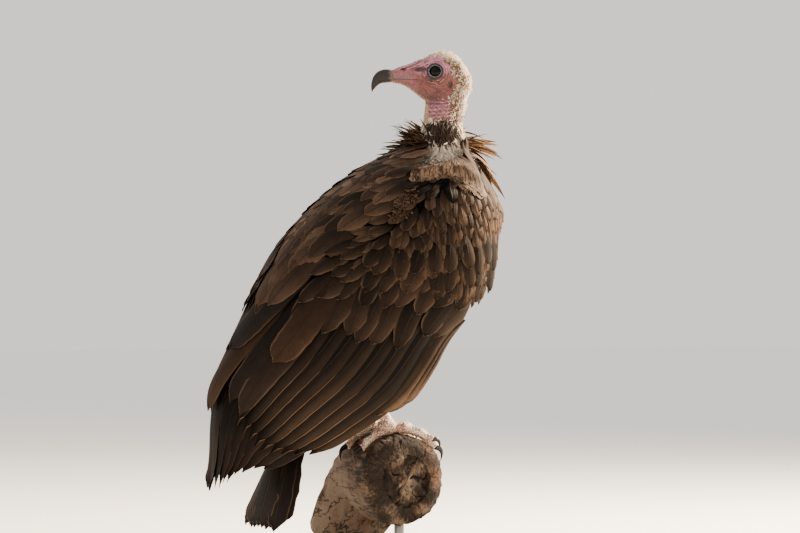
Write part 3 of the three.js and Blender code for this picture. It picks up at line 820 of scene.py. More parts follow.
@dataclass(frozen=True)
class ScaleFinish(Finish):
    """Scaly skin of the legs and toes."""

    name: str = "Leg scales"
    scale: Colour = tint(240, 218, 198)
    seam: Colour = tint(96, 66, 54)
    flush: Colour = tint(214, 174, 152)

    def make(self) -> bpy.types.Material:
        """Builds the material; see Finish."""
        r = Recipe(self.name)
        at = r.place()
        edge = r.seams(at, 420.0)
        fine = r.noise(at, 700.0, 3.0)
        cloud = r.noise(at, 60.0, 3.0)
        plates = edge.step(0.02, 0.16)
        tone = r.paint(self.seam, r.paint(self.scale, self.flush, cloud.step(0.4, 0.65)), plates)
        tone = r.shade(tone, (fine - 0.5) * 0.6 + 1.0)
        r.relief((plates, 0.45), (fine, 0.2))
        return r.dress(tone, 0.6 + (fine - 0.5) * 0.3, Specular_IOR_Level=0.4)


@dataclass(frozen=True)
class WoodFinish(Finish):
    """Weathered wood with long grain, dark cracks and a broken, blackened end."""

    name: str = "Weathered limb"
    pale: Colour = tint(106, 90, 76)
    warm: Colour = tint(82, 60, 43)
    dark: Colour = tint(20, 15, 12)

    def make(self) -> bpy.types.Material:
        """Builds the material; see Finish."""
        r = Recipe(self.name)
        length, around, out = r.split(r.attribute("grain", "Vector"))
        grain = r.noise(r.join(length * 0.02, around * 0.55, out * 0.3), 1.0, 5.0, 0.65)
        fibres = r.noise(r.join(length * 0.05, around * 2.6, out * 1.5), 1.0, 3.0, 0.6)
        cracks = r.noise(r.join(length * 0.011, around * 0.085, out * 0.05), 1.0, 4.0, 0.6)
        split = abs(cracks - 0.5).step(0.022, 0.004).larger(r.attribute("cracked"))
        blotch = r.noise(r.place(), 22.0, 4.0)
        charred = r.attribute("charred")
        tone = r.paint(self.pale, self.warm, (blotch + (grain - 0.5) * 0.5).step(0.4, 0.62))
        tone = r.shade(tone, (grain - 0.5) * 0.9 + (fibres - 0.5) * 0.5 + 1.0)
        tone = r.paint(tone, self.dark, (split * 0.85).larger((charred + (grain - 0.5) * 0.9).step(0.3, 0.75) * 0.9))
        r.relief((grain, 1.1), (fibres, 0.5), (1.0 - split, 2.0))
        return r.dress(tone, 0.8 + (fibres - 0.5) * 0.2, Specular_IOR_Level=0.15)


@dataclass(frozen=True)
class PlainFinish(Finish):
    """A plain made surface with a faint grain: painted plate, steel rod or floor."""

    name: str
    colour: Colour
    roughness: float
    metallic: float = 0.0
    grain_scale: float = 400.0
    grain_depth: float = 0.03

    def make(self) -> bpy.types.Material:
        """Builds the material; see Finish."""
        r = Recipe(self.name)
        grain = r.noise(r.place(), self.grain_scale, 3.0)
        cloud = r.noise(r.place(), 14.0, 2.0)
        tone = r.shade(self.colour, (grain - 0.5) * 0.10 + (cloud - 0.5) * 0.04 + 1.0)
        r.relief((grain, self.grain_depth))
        return r.dress(tone, self.roughness + (grain - 0.5) * 0.15, Metallic=self.metallic)


# ---------------------------------------------------------------- forms that feathers lie on
SHOULDER = np.array([0.0, -62.0, 510.0])
SPINE_SLOPE = math.radians(56)
DOWN_SPINE = np.array([0.0, math.cos(SPINE_SLOPE), -math.sin(SPINE_SLOPE)])
OUT_OF_BACK = np.array([0.0, math.sin(SPINE_SLOPE), math.cos(SPINE_SLOPE)])
HEAD_CENTRE = np.array([0.0, -66.0, 618.0])
HEAD_TURN = math.radians(25)
HEAD_FORWARD = np.array([math.sin(HEAD_TURN), math.cos(HEAD_TURN), 0.0])
HEAD_LEFT = np.array([-math.cos(HEAD_TURN), math.sin(HEAD_TURN), 0.0])


def spine_point(along: np.ndarray, height: np.ndarray, side: np.ndarray) -> np.ndarray:
    """Gives places measured down the spine, out of the back and to the left of the shoulder."""
    along, height, side = (np.asarray(v)[..., None] for v in (along, height, side))
    return SHOULDER + along * DOWN_SPINE + height * OUT_OF_BACK + side * SIDEWAYS


class Form:
    """A smooth body surface, read by a distance along it and a place around it."""

    unwrap = (-1.3, 1.3, -40.0, 540.0)  # least and greatest place around, least and greatest distance along

    def point(self, along: np.ndarray, around: np.ndarray, lift: Numbers = 0.0) -> np.ndarray:
        """Gives places on the surface.

        Args:
            along: Distance along the body in millimetres.
            around: Place around the body.
            lift: Height over the surface in millimetres.

        Returns:
            The places, along the last axis.
        """
        raise NotImplementedError

    def scale(self, along: np.ndarray, around: np.ndarray) -> np.ndarray:
        """Gives the millimetres for each unit of the place around the body."""
        step = 0.01
        span = self.point(along, around + step) - self.point(along, around - step)
        return np.maximum(np.linalg.norm(span, axis=-1) / (2 * step), 5.0)

    def bake_place(self, along: np.ndarray, around: np.ndarray) -> np.ndarray:
        """Gives places on an unwrap of this surface, as pairs between 0 and 1."""
        low, high, start, end = self.unwrap
        pair = np.stack([(around - low) / (high - low), (along - start) / (end - start)], -1)
        return 0.01 + 0.98 * np.clip(pair, 0, 1)


class CoatForm(Form):
    """The outer form of the back and the folded wings; around is 1 at the right wing's front edge."""

    wrap = math.radians(125)
    roundness = 0.9

    def __init__(self) -> None:
        """Keeps the profiles of the back, the sides and the wings' front edges."""
        self.back = Profile([
            (-20, 34), (0, 50), (37, 72), (73, 91), (118, 107), (160, 117), (205, 121), (255, 117),
            (300, 112), (345, 109), (390, 103), (425, 86), (455, 66), (495, 42),
        ])
        self.half = Profile([
            (-20, 42), (0, 64), (37, 86), (73, 97), (118, 103), (160, 103), (205, 100), (255, 94),
            (300, 86), (350, 76), (400, 64), (450, 50), (495, 40),
        ])
        self.front = Profile([
            (-20, -2), (0, -36), (20, -60), (56, -79), (91, -91), (125, -99), (158, -101), (180, -93),
            (209, -86), (270, -83), (300, -76), (357, -52), (404, -30), (450, -2), (495, 26),
        ])

    def point(self, along: np.ndarray, around: np.ndarray, lift: Numbers = 0.0) -> np.ndarray:
        """Gives places on the coat; see Form."""
        angle = np.abs(around) * self.wrap
        back, half = self.back(along), self.half(along)
        reach = (back - self.front(along)) / (1 - math.cos(self.wrap))
        side = half * np.maximum(np.sin(angle), 0) ** self.roundness
        height = back - reach + reach * np.cos(angle)
        normal = unit(np.stack([np.sin(angle) / half, np.cos(angle) / reach], -1))
        lift = np.asarray(lift) + np.zeros_like(height)
        out = side + lift * normal[..., 0]
        return spine_point(along, height + lift * normal[..., 1], -np.where(around < 0, -1.0, 1.0) * out)


class ShoulderForm(CoatForm):
    """The coat with the folded wing's rolled shoulder edge and the hollow beneath it."""

    edge = Profile([
        (0.30, 52), (0.34, 45), (0.38, 38), (0.44, 25), (0.50, 15), (0.56, 10), (0.63, 8), (0.72, 5), (0.78, 3),
    ])  # how far down the spine the roll lies, by the place around

    def point(self, along: np.ndarray, around: np.ndarray, lift: Numbers = 0.0) -> np.ndarray:
        """Gives places on the coat with its roll and hollow; see Form."""
        wrap = np.abs(around)
        beyond = np.asarray(along) - self.edge(wrap)
        within = ease(wrap, 0.26, 0.36) * ease(wrap, 0.86, 0.70)
        ridge = 9.0 * hill(beyond, 0, 9.0) * within
        hollow = 8.0 * hill(beyond, 22, 10.0) * ease(wrap, 0.32, 0.42) * ease(wrap, 0.66, 0.50)
        front = (7.0 * ease(wrap, 0.84, 1.0) + 20.0 * ease(wrap, 1.0, 1.22)) * ease(np.asarray(along), 10, 60)
        front = front * ease(np.asarray(along), 230, 170)
        return super().point(along, around, np.asarray(lift) + ridge - hollow - front)


class TrunkForm(Form):
    """The trunk's own form; around is 0 on the back and half a turn on the belly, in radians."""

    unwrap = (0.0, TURN, -40.0, 440.0)

    def __init__(self) -> None:
        """Keeps the profiles of the trunk."""
        self.top = Profile([
            (-14, 16), (0, 33), (20, 47), (70, 70), (118, 88), (160, 97), (205, 98), (245, 88), (285, 70),
            (320, 50), (338, 38), (420, -10),
        ])
        self.width = Profile([
            (-30, 22), (-14, 34), (0, 46), (20, 60), (70, 77), (118, 84), (160, 83), (205, 76), (245, 64),
            (285, 48), (320, 36), (338, 32), (380, 26), (430, 14),
        ])
        self.belly = Profile([
            (-30, -10), (-14, -26), (0, -48), (20, -66), (60, -87), (100, -95), (140, -92), (180, -78),
            (220, -56), (260, -30), (300, -6), (338, 2), (380, -14), (430, -28),
        ])

    def point(self, along: np.ndarray, around: np.ndarray, lift: Numbers = 0.0) -> np.ndarray:
        """Gives places on the trunk; see Form."""
        top, belly = self.top(along), self.belly(along)
        middle = blend(belly, top, 0.45)
        c, s = np.cos(around), np.sin(around)
        towards = np.where(c > 0, top - middle, middle - belly)
        lift = np.asarray(lift)
        height = middle + (towards + lift) * c
        side = (self.width(along) + lift) * np.sign(s) * np.abs(s) ** 0.9
        return spine_point(along, height, side)


class TubeForm(Form):
    """A tube round an upright path; around is the bearing in radians, from +X towards +Y."""

    unwrap = (-math.pi, math.pi, -10.0, 110.0)

    def __init__(self, path: Sequence[tuple[float, float, float, float, float]]) -> None:
        """Keeps the path.

        Args:
            path: Stations of x, y, z, half width in X and half depth in Y.
        """
        table = np.array(path, float)
        length = np.r_[0, np.cumsum(np.linalg.norm(np.diff(table[:, :3], axis=0), axis=1))]
        self.curves = [Profile(list(zip(length, column))) for column in table.T]
        self.length = float(length[-1])

    def point(self, along: np.ndarray, around: np.ndarray, lift: Numbers = 0.0) -> np.ndarray:
        """Gives places on the tube; see Form."""
        x, y, z, wide, deep = (curve(along) for curve in self.curves)
        lift = np.asarray(lift)
        side = x + (wide + lift) * np.cos(around)
        return np.stack([side, y + (deep + lift) * np.sin(around), z + 0.0 * side], -1)


def head_point(forward: Numbers, left: Numbers, up: Numbers) -> np.ndarray:
    """Gives places measured forward, left and up from the middle of the skull."""
    forward, left, up = np.broadcast_arrays(*(np.asarray(v, float)[..., None] for v in (forward, left, up)))
    return HEAD_CENTRE + forward * HEAD_FORWARD + left * HEAD_LEFT + up * UPWARDS


def head_place(points: np.ndarray) -> np.ndarray:
    """Measures places forward, left and up from the middle of the skull."""
    offset = points - HEAD_CENTRE
    return np.stack([offset @ HEAD_FORWARD, offset @ HEAD_LEFT, offset[..., 2]], -1)


# ---------------------------------------------------------------- feathers
class VaneShape(Enum):
    """Outlines of feathers, each as half widths from root to tip."""

    ROUND = (
        (0, 0.20), (0.12, 0.60), (0.30, 0.88), (0.54, 1.0), (0.71, 0.96), (0.83, 0.82), (0.91, 0.62), (0.96, 0.42),
        (1, 0.11),
    )
    LONG = (
        (0, 0.25), (0.08, 0.60), (0.25, 0.86), (0.60, 1.0), (0.84, 0.99), (0.90, 0.92), (0.945, 0.76), (0.98, 0.48),
        (1, 0.12),
    )
    LANCE = ((0, 0.45), (0.15, 0.85), (0.35, 1.0), (0.60, 0.78), (0.82, 0.42), (0.94, 0.18), (1, 0.04))
    SPIKE = ((0, 0.7), (0.3, 1.0), (0.65, 0.6), (1, 0.05))


@dataclass(frozen=True)
class VaneCut:
    """How the feathers of one tract are cut and laid."""

    shape: VaneShape = VaneShape.ROUND
    rows: int = 7
    columns: int = 4
    sink: float = -3.0  # height of the root over the surface
    rise: float = 1.0  # height of the tip
    camber: float = 1.2  # how far the middle arches over the edges
    tilt: float = 0.5  # how far one edge lies over the other
    thick: float = 0.4
    ragged: float = 0.05  # how much the width strays, as a share
    curl: float = 0.0  # how far the tip turns up


@dataclass
class Planting:
    """Where the feathers of one tract stand: one value of each kind for each feather."""

    along: np.ndarray
    around: np.ndarray
    heading: np.ndarray
    length: np.ndarray
    width: np.ndarray
    shade: np.ndarray
    turn: Numbers = 0.0
    # How strong each feather's pale edge is: wear, and on the lesser coverts also painted light and shade.
    wear_and_light: Numbers = 0.5
    raise_by: Numbers = 0.0
    # lap also darkens that half: painted shade under the neighbour's edge.
    lap: float = 0.0  # 1 where each feather's nearer half lies under its neighbour


def vane_grid(form: Form, cut: VaneCut, at: Planting, rng: np.random.Generator) -> np.ndarray:
    """Lays feathers on a form.

    Args:
        form: The surface that they follow.
        cut: How they are cut.
        at: Where they stand.
        rng: The source of small differences.

    Returns:
        Grids of points, of shape (feathers, rows + 1, columns + 1, 3).
    """
    count = len(at.along)
    v = 1 - (1 - np.linspace(0, 1, cut.rows + 1)) ** 1.6
    u = np.linspace(-1, 1, cut.columns + 1)
    fan = at.heading[:, None] + np.asarray(at.turn + np.zeros(count))[:, None] * v
    step = np.diff(v, prepend=0.0) * at.length[:, None]
    along = at.along[:, None] + np.cumsum(step * np.cos(fan), axis=1)
    drift = np.cumsum(step * np.sin(fan), axis=1)
    scale = form.scale(at.along, at.around)[:, None]
    around = at.around[:, None] + drift / scale
    half = Profile(cut.shape.value)(v)[None] * at.width[:, None] * 0.5
    wear = 1 + cut.ragged * rng.normal(size=(count, cut.rows + 1, 2))
    side = half[..., None] * np.where(u < 0, wear[..., :1], wear[..., 1:]) * u
    reach = -0.035 * at.length[:, None, None] * u**2 * v[None, :, None] ** 3
    sin, cos = np.sin(fan)[..., None], np.cos(fan)[..., None]
    grid_along = along[..., None] - side * sin + reach * cos
    grid_around = around[..., None] + (side * cos + reach * sin) / scale[..., None]
    height = cut.sink + (cut.rise - cut.sink) * v**0.7
    lift = height[None, :, None] + cut.camber * (1 - u**2) * np.sin(np.pi * np.minimum(v + 0.1, 1))[None, :, None]
    lift = lift + cut.tilt * u * v[None, :, None] + cut.curl * v[None, :, None] ** 3
    lift = lift + rng.normal(0, 0.35, (count, 1, 1)) * v[None, :, None]
    lift = lift + np.asarray(at.raise_by + np.zeros(count))[:, None, None]
    return form.point(grid_along, grid_around, lift)


def free_grid(
    root: np.ndarray, lie: np.ndarray, out: np.ndarray, length: np.ndarray, width: np.ndarray, bend: np.ndarray,
    sway: np.ndarray, cut: VaneCut,
) -> np.ndarray:
    """Stands feathers or tufts free of the surface.

    Args:
        root: Where each one grows.
        lie: The direction in which each one starts.
        out: The direction that its face looks.
        length: Lengths in millimetres.
        width: Widths in millimetres.
        bend: How far each tip bends towards out, in millimetres; negative bends back.
        sway: How far each tip bends to the side, in millimetres.
        cut: How they are cut.

    Returns:
        Grids of points, of shape (feathers, rows + 1, columns + 1, 3).
    """
    v = np.linspace(0, 1, cut.rows + 1)[None, :, None, None]
    u = np.linspace(-1, 1, cut.columns + 1)[None, None, :, None]
    lie, side = unit(lie), unit(np.cross(lie, out))
    face = unit(np.cross(side, lie))
    lie, side, face = (a[:, None, None] for a in (lie, side, face))
    root = root[:, None, None]
    length, width, bend, sway = (a[:, None, None, None] for a in (length, width, bend, sway))
    half = Profile(cut.shape.value)(v) * width * 0.5
    camber = -cut.camber * u**2 * np.sin(np.pi * np.minimum(v + 0.1, 1))
    return root + lie * length * v + side * (half * u + sway * v**2) + face * (bend * v**2 + camber)


def vane_mesh(
    name: str, grid: np.ndarray, outward: np.ndarray, cut: VaneCut, bake: np.ndarray, notes: dict[str, np.ndarray]
) -> Piece:
    """Makes one joined mesh of many thin, closed feathers.

    Args:
        name: The piece's name.
        grid: Grids of points for the upper faces.
        outward: A direction in which each feather faces.
        cut: How they are cut.
        bake: Each root's place on the unwrap.
        notes: Values for each feather, by name.

    Returns:
        The new piece.
    """
    count, rows, columns = grid.shape[0], grid.shape[1] - 1, grid.shape[2] - 1
    down, across = np.gradient(grid, axis=1), np.gradient(grid, axis=2)
    face = unit(np.cross(across, down))
    middle = face[:, rows // 2, columns // 2]
    turned = (middle * outward).sum(-1) < 0
    face[turned] *= -1
    under = (grid - face * cut.thick)[:, 1:-1, 1:-1]
    top_ids = np.arange((rows + 1) * (columns + 1)).reshape(rows + 1, columns + 1)
    low_ids = top_ids.copy()
    low_ids[1:-1, 1:-1] = top_ids.size + np.arange((rows - 1) * (columns - 1)).reshape(rows - 1, columns - 1)

    def patch(ids: np.ndarray, flip: bool) -> np.ndarray:
        """Gives the quads between a grid of point numbers, turned the other way by a flip."""
        quads = np.stack([ids[:-1, :-1], ids[:-1, 1:], ids[1:, 1:], ids[1:, :-1]], -1).reshape(-1, 4)
        return quads[:, ::-1] if flip else quads

    one = np.concatenate([patch(top_ids, False), patch(low_ids, True)])
    size = top_ids.size + under.shape[1] * under.shape[2]
    quads = np.where(turned[:, None, None], one[None, :, ::-1], one[None]) + (np.arange(count) * size)[:, None, None]
    points = np.concatenate([grid.reshape(count, -1, 3), under.reshape(count, -1, 3)], 1)
    piece = Bench.mesh(name, points, quads)
    u, v = np.meshgrid(np.linspace(0, 1, columns + 1), np.linspace(0, 1, rows + 1))
    place = np.stack([u, v], -1)
    place = np.concatenate([place.reshape(-1, 2), place[1:-1, 1:-1].reshape(-1, 2)])
    Bench.crease(piece, 55)
    Bench.map_out(piece, "Vane", np.tile(place, (count, 1)))
    spread = bake[:, None] + (place[None] - 0.5) * BAKE_PATCH
    Bench.map_out(piece, "OFBake", spread.reshape(-1, 2), False)
    for key, values in notes.items():
        Bench.note(piece, key, np.repeat(values, size, axis=0))
    return piece


@dataclass(frozen=True)
class Tract:
    """One tract of feathers that lie on a form."""

    name: str
    form: Form
    cut: VaneCut
    finish: Finish
    slot: str = "coat"
    nodes: tuple[str, ...] = ()  # the plain solids that it replaces

    def build(self, at: Planting, seed: int) -> Piece:
        """Builds the tract's feathers and dresses them.

        Args:
            at: Where they stand.
            seed: The random seed.

        Returns:
            The finished tract.
        """
        rng = np.random.default_rng(seed)
        grid = vane_grid(self.form, self.cut, at, rng)
        outward = grid[:, self.cut.rows // 2, self.cut.columns // 2] - self.form.point(at.along, at.around, -20.0)
        count = len(at.along)
        notes = {
            "shade": at.shade, "span": at.length, "breadth": at.width, "seed": rng.uniform(0, 1, count),
            "wear_and_light": at.wear_and_light + np.zeros(count), "lap": np.full(count, at.lap),
        }
        piece = vane_mesh(self.name, grid, outward, self.cut, self.form.bake_place(at.along, at.around), notes)
        return Bench.hand_over(piece, self.slot, self.finish, *self.nodes)


def scatter_rows(
    form: Form, ends: tuple[float, float], steps: tuple[float, float], sides: tuple[float, float],
    rng: np.random.Generator, jitter: float = 0.18,
) -> tuple[np.ndarray, np.ndarray]:
    """Sets roots out in staggered rows.

    Args:
        form: The surface.
        ends: Where the rows begin and end along the body.
        steps: Distances between rows and between neighbours in a row, in millimetres.
        sides: Each row's first and last place around the body.
        rng: The source of small differences.
        jitter: How far roots stray, as a share of the spacing.

    Returns:
        The roots' distances along and places around.
    """
    along, around = [], []
    row_step, gap = steps
    first, last = sides
    for row, distance in enumerate(np.arange(*ends, row_step)):
        scale = float(form.scale(np.array(distance), np.array((first + last) / 2)))
        places = np.arange(first + (row % 2) * gap / scale / 2, last, gap / scale)
        along.append(np.full(len(places), distance) + rng.uniform(-jitter, jitter, len(places)) * row_step)
        around.append(places + rng.uniform(-jitter, jitter, len(places)) * gap / scale)
    return np.concatenate(along), np.concatenate(around)


def dyed(low: Colour, high: Colour, share: np.ndarray, rng: np.random.Generator, vary: float = 0.12) -> np.ndarray:
    """Gives each feather its own colour, from low at share 0 to high at share 1, and varies its brightness."""
    share = np.clip(share, 0, 1)[:, None]
    return blend(low, high, share) * rng.normal(1, vary, (len(share), 1)).clip(0.5, 1.6)


COAT_FINISH = VaneFinish("Coat feathers", depth=0.84)
FLIGHT_FINISH = VaneFinish(
    "Flight feathers", fringe=tint(112, 87, 64), fringe_width=1.7, barb_depth=0.08, streaks=0.5, depth=0.95)
ROLL_FINISH = VaneFinish("Mottled edge", fringe=tint(138, 114, 95), fringe_width=1.4, root_shadow=0.35, streaks=0.9)


# ---------------------------------------------------------------- the bird
@dataclass
class Skin:
    """One skin over the trunk, thighs, neck and head, inside the coat by its depth."""

    voxel: float = 1.62
    coat_depth: float = 6.0
    eye: tuple[float, float, float] = (16.0, 12.4, OPENING[1])  # forward, out to the side, up
    eye_tilt: float = math.radians(12)  # how far the opening looks forward
    lid_stretch: tuple[float, float] = (1.04, 0.97)  # the opening's length and height over a round one
    neck_y: float = -58.0  # of the neck's axis at its root
    neck_reach: float = 60.0  # how far from that axis the down and hair of the collar grow
    downy_above: tuple[float, float] = (508.0, 522.0)  # where pale skin starts round the neck, and elsewhere
    lid_sides: int = 72
    lid_section: Stations = (
        # radius round the opening, height over the ball's middle
        (6.15, 6.8), (6.35, 7.3), (6.75, 7.7), (7.3, 7.9), (7.9, 7.75), (8.5, 7.45), (9.2, 7.4), (10.0, 7.1),
        (10.8, 6.5), (11.6, 5.4), (10.2, 4.6), (7.4, 5.6),
    )
    neck: Path = (
        (0, -61, 486, 44, 40, 40), (0, -60, 506, 38, 35, 35), (0, -58, 526, 28, 27, 27),
        (0, -56, 545, 23.5, 23.5, 23.5), (0, -56, 560, 23, 23, 23), (1, -60, 578, 23.6, 24.2, 24.2),
        (1, -63, 594, 23, 24, 24), (1, -65, 606, 19, 21, 21),
    )
    top: Stations = (
        (-26, -8), (-24.5, 0), (-20.5, 7.4), (-13.6, 17.8), (-5, 25.6), (3, 29.4), (9, 30.2), (16, 28.8),
        (24, 25.6), (32, 21.4), (40.8, 18.0), (46, 15.8), (53, 13.4), (61, 10.8), (70.6, 7.4),
    )
    bottom: Stations = (
        (-26, -9), (-24, -20), (-15, -28), (0, -30), (15, -30.5), (25, -30), (30, -29.4), (33.6, -27.6),
        (38, -24.2), (44.4, -19.4), (50, -15.0), (55.2, -12), (62, -9.8), (70.6, -8.2),
    )
    half: Stations = (
        (-26, 4), (-24, 10), (-19, 16.5), (-12, 20.6), (-3, 22.6), (6, 23), (14, 22.4), (20, 20.8),
        (28, 17), (36, 13.4), (42, 11.4), (50, 9.8), (60, 8.4), (70.6, 7.4),
    )
    middle: Stations = ((-26, -8), (0, -3), (20, -3), (41, -3), (70, -2))

    def head_rings(self) -> np.ndarray:
        """Gives the head's rings, from the back of the skull to the root of the horn.

        Returns:
            Points of shape (rings, sides, 3).
        """
        f = blend(self.top[0][0], self.top[-1][0], np.linspace(0, 1, 90))[:, None]
        top, bottom, half, middle = (Profile(c)(f) for c in (self.top, self.bottom, self.half, self.middle))
        c, s = np.cos(circle(72)[None]), np.sin(circle(72)[None])
        power = blend(1.0, 0.86, ease(f, 20, 45))
        reach = np.where(s > 0, top - middle, middle - bottom)
        left = half * np.sign(c) * np.abs(c) ** power
        return head_point(f + 0 * c, left, middle + reach * np.sign(s) * np.abs(s) ** power)

    def rough(self) -> Piece:
        """Joins the body's masses into one closed skin.

        Returns:
            The joined piece.
        """
        along, around = np.meshgrid(np.linspace(-14, 334, 60), circle(72), indexing="ij")
        masses = [
            Bench.loft("skin", TrunkForm().point(along, around, -self.coat_depth)),
            Bench.loft("neck_mass", sweep(self.neck, SIDEWAYS, 40, 48)),
            Bench.loft("head_mass", self.head_rings()),
        ]
        depth = 0.68  # of the thigh from front to back, inside its feathers
        for sign in (-1, 1):
            path = [(*at, wide, depth * high, depth * low) for *at, wide, high, low in Thigh.path(sign, 9.0)]
            masses.append(Bench.loft("thigh_mass", sweep(path, SIDEWAYS, 30, 32)))
        return Bench.fuse(masses, "bird_skin", self.voxel, 6)

    def bare_share(self, place: np.ndarray) -> np.ndarray:
        """Tells where the skin is bare.

        Args:
            place: Forward, left and up from the skull's middle.

        Returns:
            1 on bare skin, 0 under down or feathers.
        """
        f, _, u = place.T
        edge = Profile([(-58, -10), (-52, -6), (-42, -1), (-28, -1), (-12, -7), (0, -5), (8, 1), (14, 4), (20, 8)])
        wobble = Ripple(5, 7)(place) * 1.2
        brow = Profile([(-10, 19), (8, 21.5), (16, 22.5), (24, 21.5), (32, 18.6), (41, 15.6)])
        side = ease(f - edge(u) + wobble, -1.5, 1.5) * ease(brow(f) - u + wobble * 0.6, -1.2, 1.2)
        side = np.maximum(side, ease(f, 41, 44))
        front = 1 - ease(u, -30, -36) * ease(f, 24.5, 28.0)
        return side * ease(u + wobble * 2, -58, -50) * front

    def round_neck(self, points: np.ndarray) -> np.ndarray:
        """Tells which points lie round the root of the neck."""
        return np.hypot(points[:, 0], points[:, 1] - self.neck_y) < self.neck_reach

    def near_face(self, place: np.ndarray) -> np.ndarray:
        """Gives 1 beside the bare skin of the face, and 0 a finger's width away from it."""
        reaches = (4, 8, 13, 18)
        near = sum(self.bare_share(place + [reach, 0, 0]) for reach in reaches) / len(reaches)
        return ease(near * ease(place[:, 2], 24, 14), 0.0, 0.55)

    def sculpt(self, skin: Piece) -> None:
        """Works the folds of the head and neck into the skin.

        Args:
            skin: The joined skin.
        """
        points, facing = Bench.points(skin), Bench.normals(skin)
        place = head_place(points)
        f, left, u = place.T
        wide = np.abs(left)
        side = ease(wide, 3, 8) * ease(f, -27, -20) * ease(u, -60, -40)

        def mound(at: tuple[float, float], size: tuple[float, float], power: float = 1.0) -> np.ndarray:
            """Gives a soft oval mound on both sides of the head."""
            return np.exp(-((((f - at[0]) / size[0]) ** 2 + ((u - at[1]) / size[1]) ** 2) ** power))

        rise = u - OPENING[1]
        distance = np.hypot(f - OPENING[0], rise)
        brow = hill(distance, 13.5, 2.6) * ease(rise, 0, 7)
        under = hill(distance, 13.0, 1.3) * ease(-rise, 2, 7)
        socket = np.exp(-((distance / 9.6) ** 8))
        rings = np.cos((distance - 11.5) * TURN / 2.7 + Ripple(14, 9)(place) * 1.4)
        rings = rings * ease(distance, 10.5, 12.5) * ease(distance, 20, 14)
        brow_folds = np.sin((u - 0.42 * (30 - f)) * TURN / 3.1 + Ripple(15, 12)(place) * 1.6)
        brow_folds = brow_folds * ease(f, 20, 26) * ease(f, 46, 38) * ease(u, 6, 10) * ease(wide, 1, 4)
        gape = hill(u, -9.6 + (f - 24) * 0.42, 1.3) * ease(f, 20, 26) * ease(f, 42, 38)
        mouth = hill(u + 3.6, (f - 55) * 0.02, 1.0) * ease(f, 36, 42) * ease(f, 70, 66)
        jaw = hill(u, -17 + (f - 16) * 0.55, 1.8) * ease(f, 8, 14) * ease(f, 36, 28)
        deep = (
            1.3 * brow - 0.6 * under - 4.2 * socket + 1.1 * mound((13, -14), (11, 8))
            + 0.32 * rings + 0.34 * brow_folds
            - 1.3 * mound((35, 6.5), (6, 3.6)) - 1.0 * gape - 1.1 * mouth - 0.7 * jaw
            - 2.4 * mound((56, 8.0), (3.2, 1.5), 2) + 0.6 * mound((56, 8.6), (6, 4))  # nostril
            - 3.0 * mound((-0.6, -10.8), (2.8, 4.4), 2) + 0.8 * mound((-0.6, -10.8), (5.5, 7))  # ear
        )
        folds = np.abs(np.sin(u * 0.72 + 2.2 * Ripple(8, 30)(place) + f * 0.05)) ** 0.8
        necks = ease(u, -30, -36) * ease(u, -62, -54) * ease(wide, 0, 6)
        fine = Ripple(11, 5)(place) * 0.22 * ease(u, -62, -50)
        move = side * deep + 1.1 * (folds - 0.7) * necks + fine
        for sign in (-1, 1):  # room under the rolled edges of the wings
            for along, around in ((66, 0.38), (57, 0.44), (47, 0.50), (38, 0.55)):
                away = np.linalg.norm(points - ShoulderForm().point(along, sign * around), axis=1)
                move = np.minimum(move, -9.0 * hill(away, 0, 13.0))
        Bench.move(skin, points + facing * move[:, None])

    def lids(self, sign: int) -> Piece:
        """Makes the ring of both lids round one eye.

        Args:
            sign: 1 for the left eye, -1 for the right.

        Returns:
            The ring, a closed mesh.
        """
        radius, rise = np.array(self.lid_section, float).T[:, None]
        turn = circle(self.lid_sides)[:, None]
        outer = ease(radius, 8.0, 9.5)
        rise = rise + outer * (0.16 * np.sin(turn * 13 + radius) + 0.12 * np.sin(turn * 7 - radius * 2))
        axis = HEAD_LEFT * sign * math.cos(self.eye_tilt) + HEAD_FORWARD * math.sin(self.eye_tilt)
        ahead = HEAD_FORWARD * math.cos(self.eye_tilt) - HEAD_LEFT * sign * math.sin(self.eye_tilt)
        middle = head_point(self.eye[0], sign * self.eye[1], self.eye[2]).reshape(3)
        corner = 0.8 * np.maximum(np.cos(turn), 0) ** 10 + 0.4 * np.maximum(-np.cos(turn), 0) ** 10
        forward = (radius * self.lid_stretch[0] + corner) * np.cos(turn)
        up = radius * self.lid_stretch[1] * np.sin(turn)
        rings = middle + axis * rise[..., None] + ahead * forward[..., None] + UPWARDS * up[..., None]
        return Bench.hoop("lids", rings, True)

    def build(self) -> Piece:
        """Builds the skin with its lids and marks, and dresses it.

        Returns:
            The finished skin.
        """
        skin = self.rough()
        self.sculpt(skin)
        count = len(skin.data.vertices)
        skin = Bench.join([skin, self.lids(1), self.lids(-1)], "bird_skin")
        points = Bench.points(skin)
        place = head_place(points)
        f, _, u = place.T
        ahead, above = (f - OPENING[0]) / self.lid_stretch[0], (u - OPENING[1]) / self.lid_stretch[1]
        lid = np.hypot(ahead * 1.02, above)
        lid[:count] = 0.0
        bare = self.bare_share(place)
        bare[count:] = 1.0
        # Ground colour under the down: browner beside the bare face, partly its own colour and partly painted shade.
        # Under the feathers the skin is painted near-black, as shade in the gaps between them.
        near = self.near_face(place)[:, None]
        ground = blend(tint(176, 146, 118), tint(96, 68, 48), near)
        over = [points[:, 2] > height for height in self.downy_above]
        downy = over[1] | (over[0] & self.round_neck(points))
        notes = {
            "head": place, "bare": bare, "lid": lid, "creased": np.maximum(ease(u, -24, -34), 0.25 * ease(u, 6, 14)),
            "shade": np.where(downy[:, None], ground, tint(24, 18, 15)),
        }
        for name, values in notes.items():
            Bench.note(skin, name, values)
        return Bench.hand_over(
            skin, "bare_skin", SkinFinish(),
            "trunk", "neck_root", "neck", "head", "cere", "mandible", "thigh_right", "thigh_left",
        )


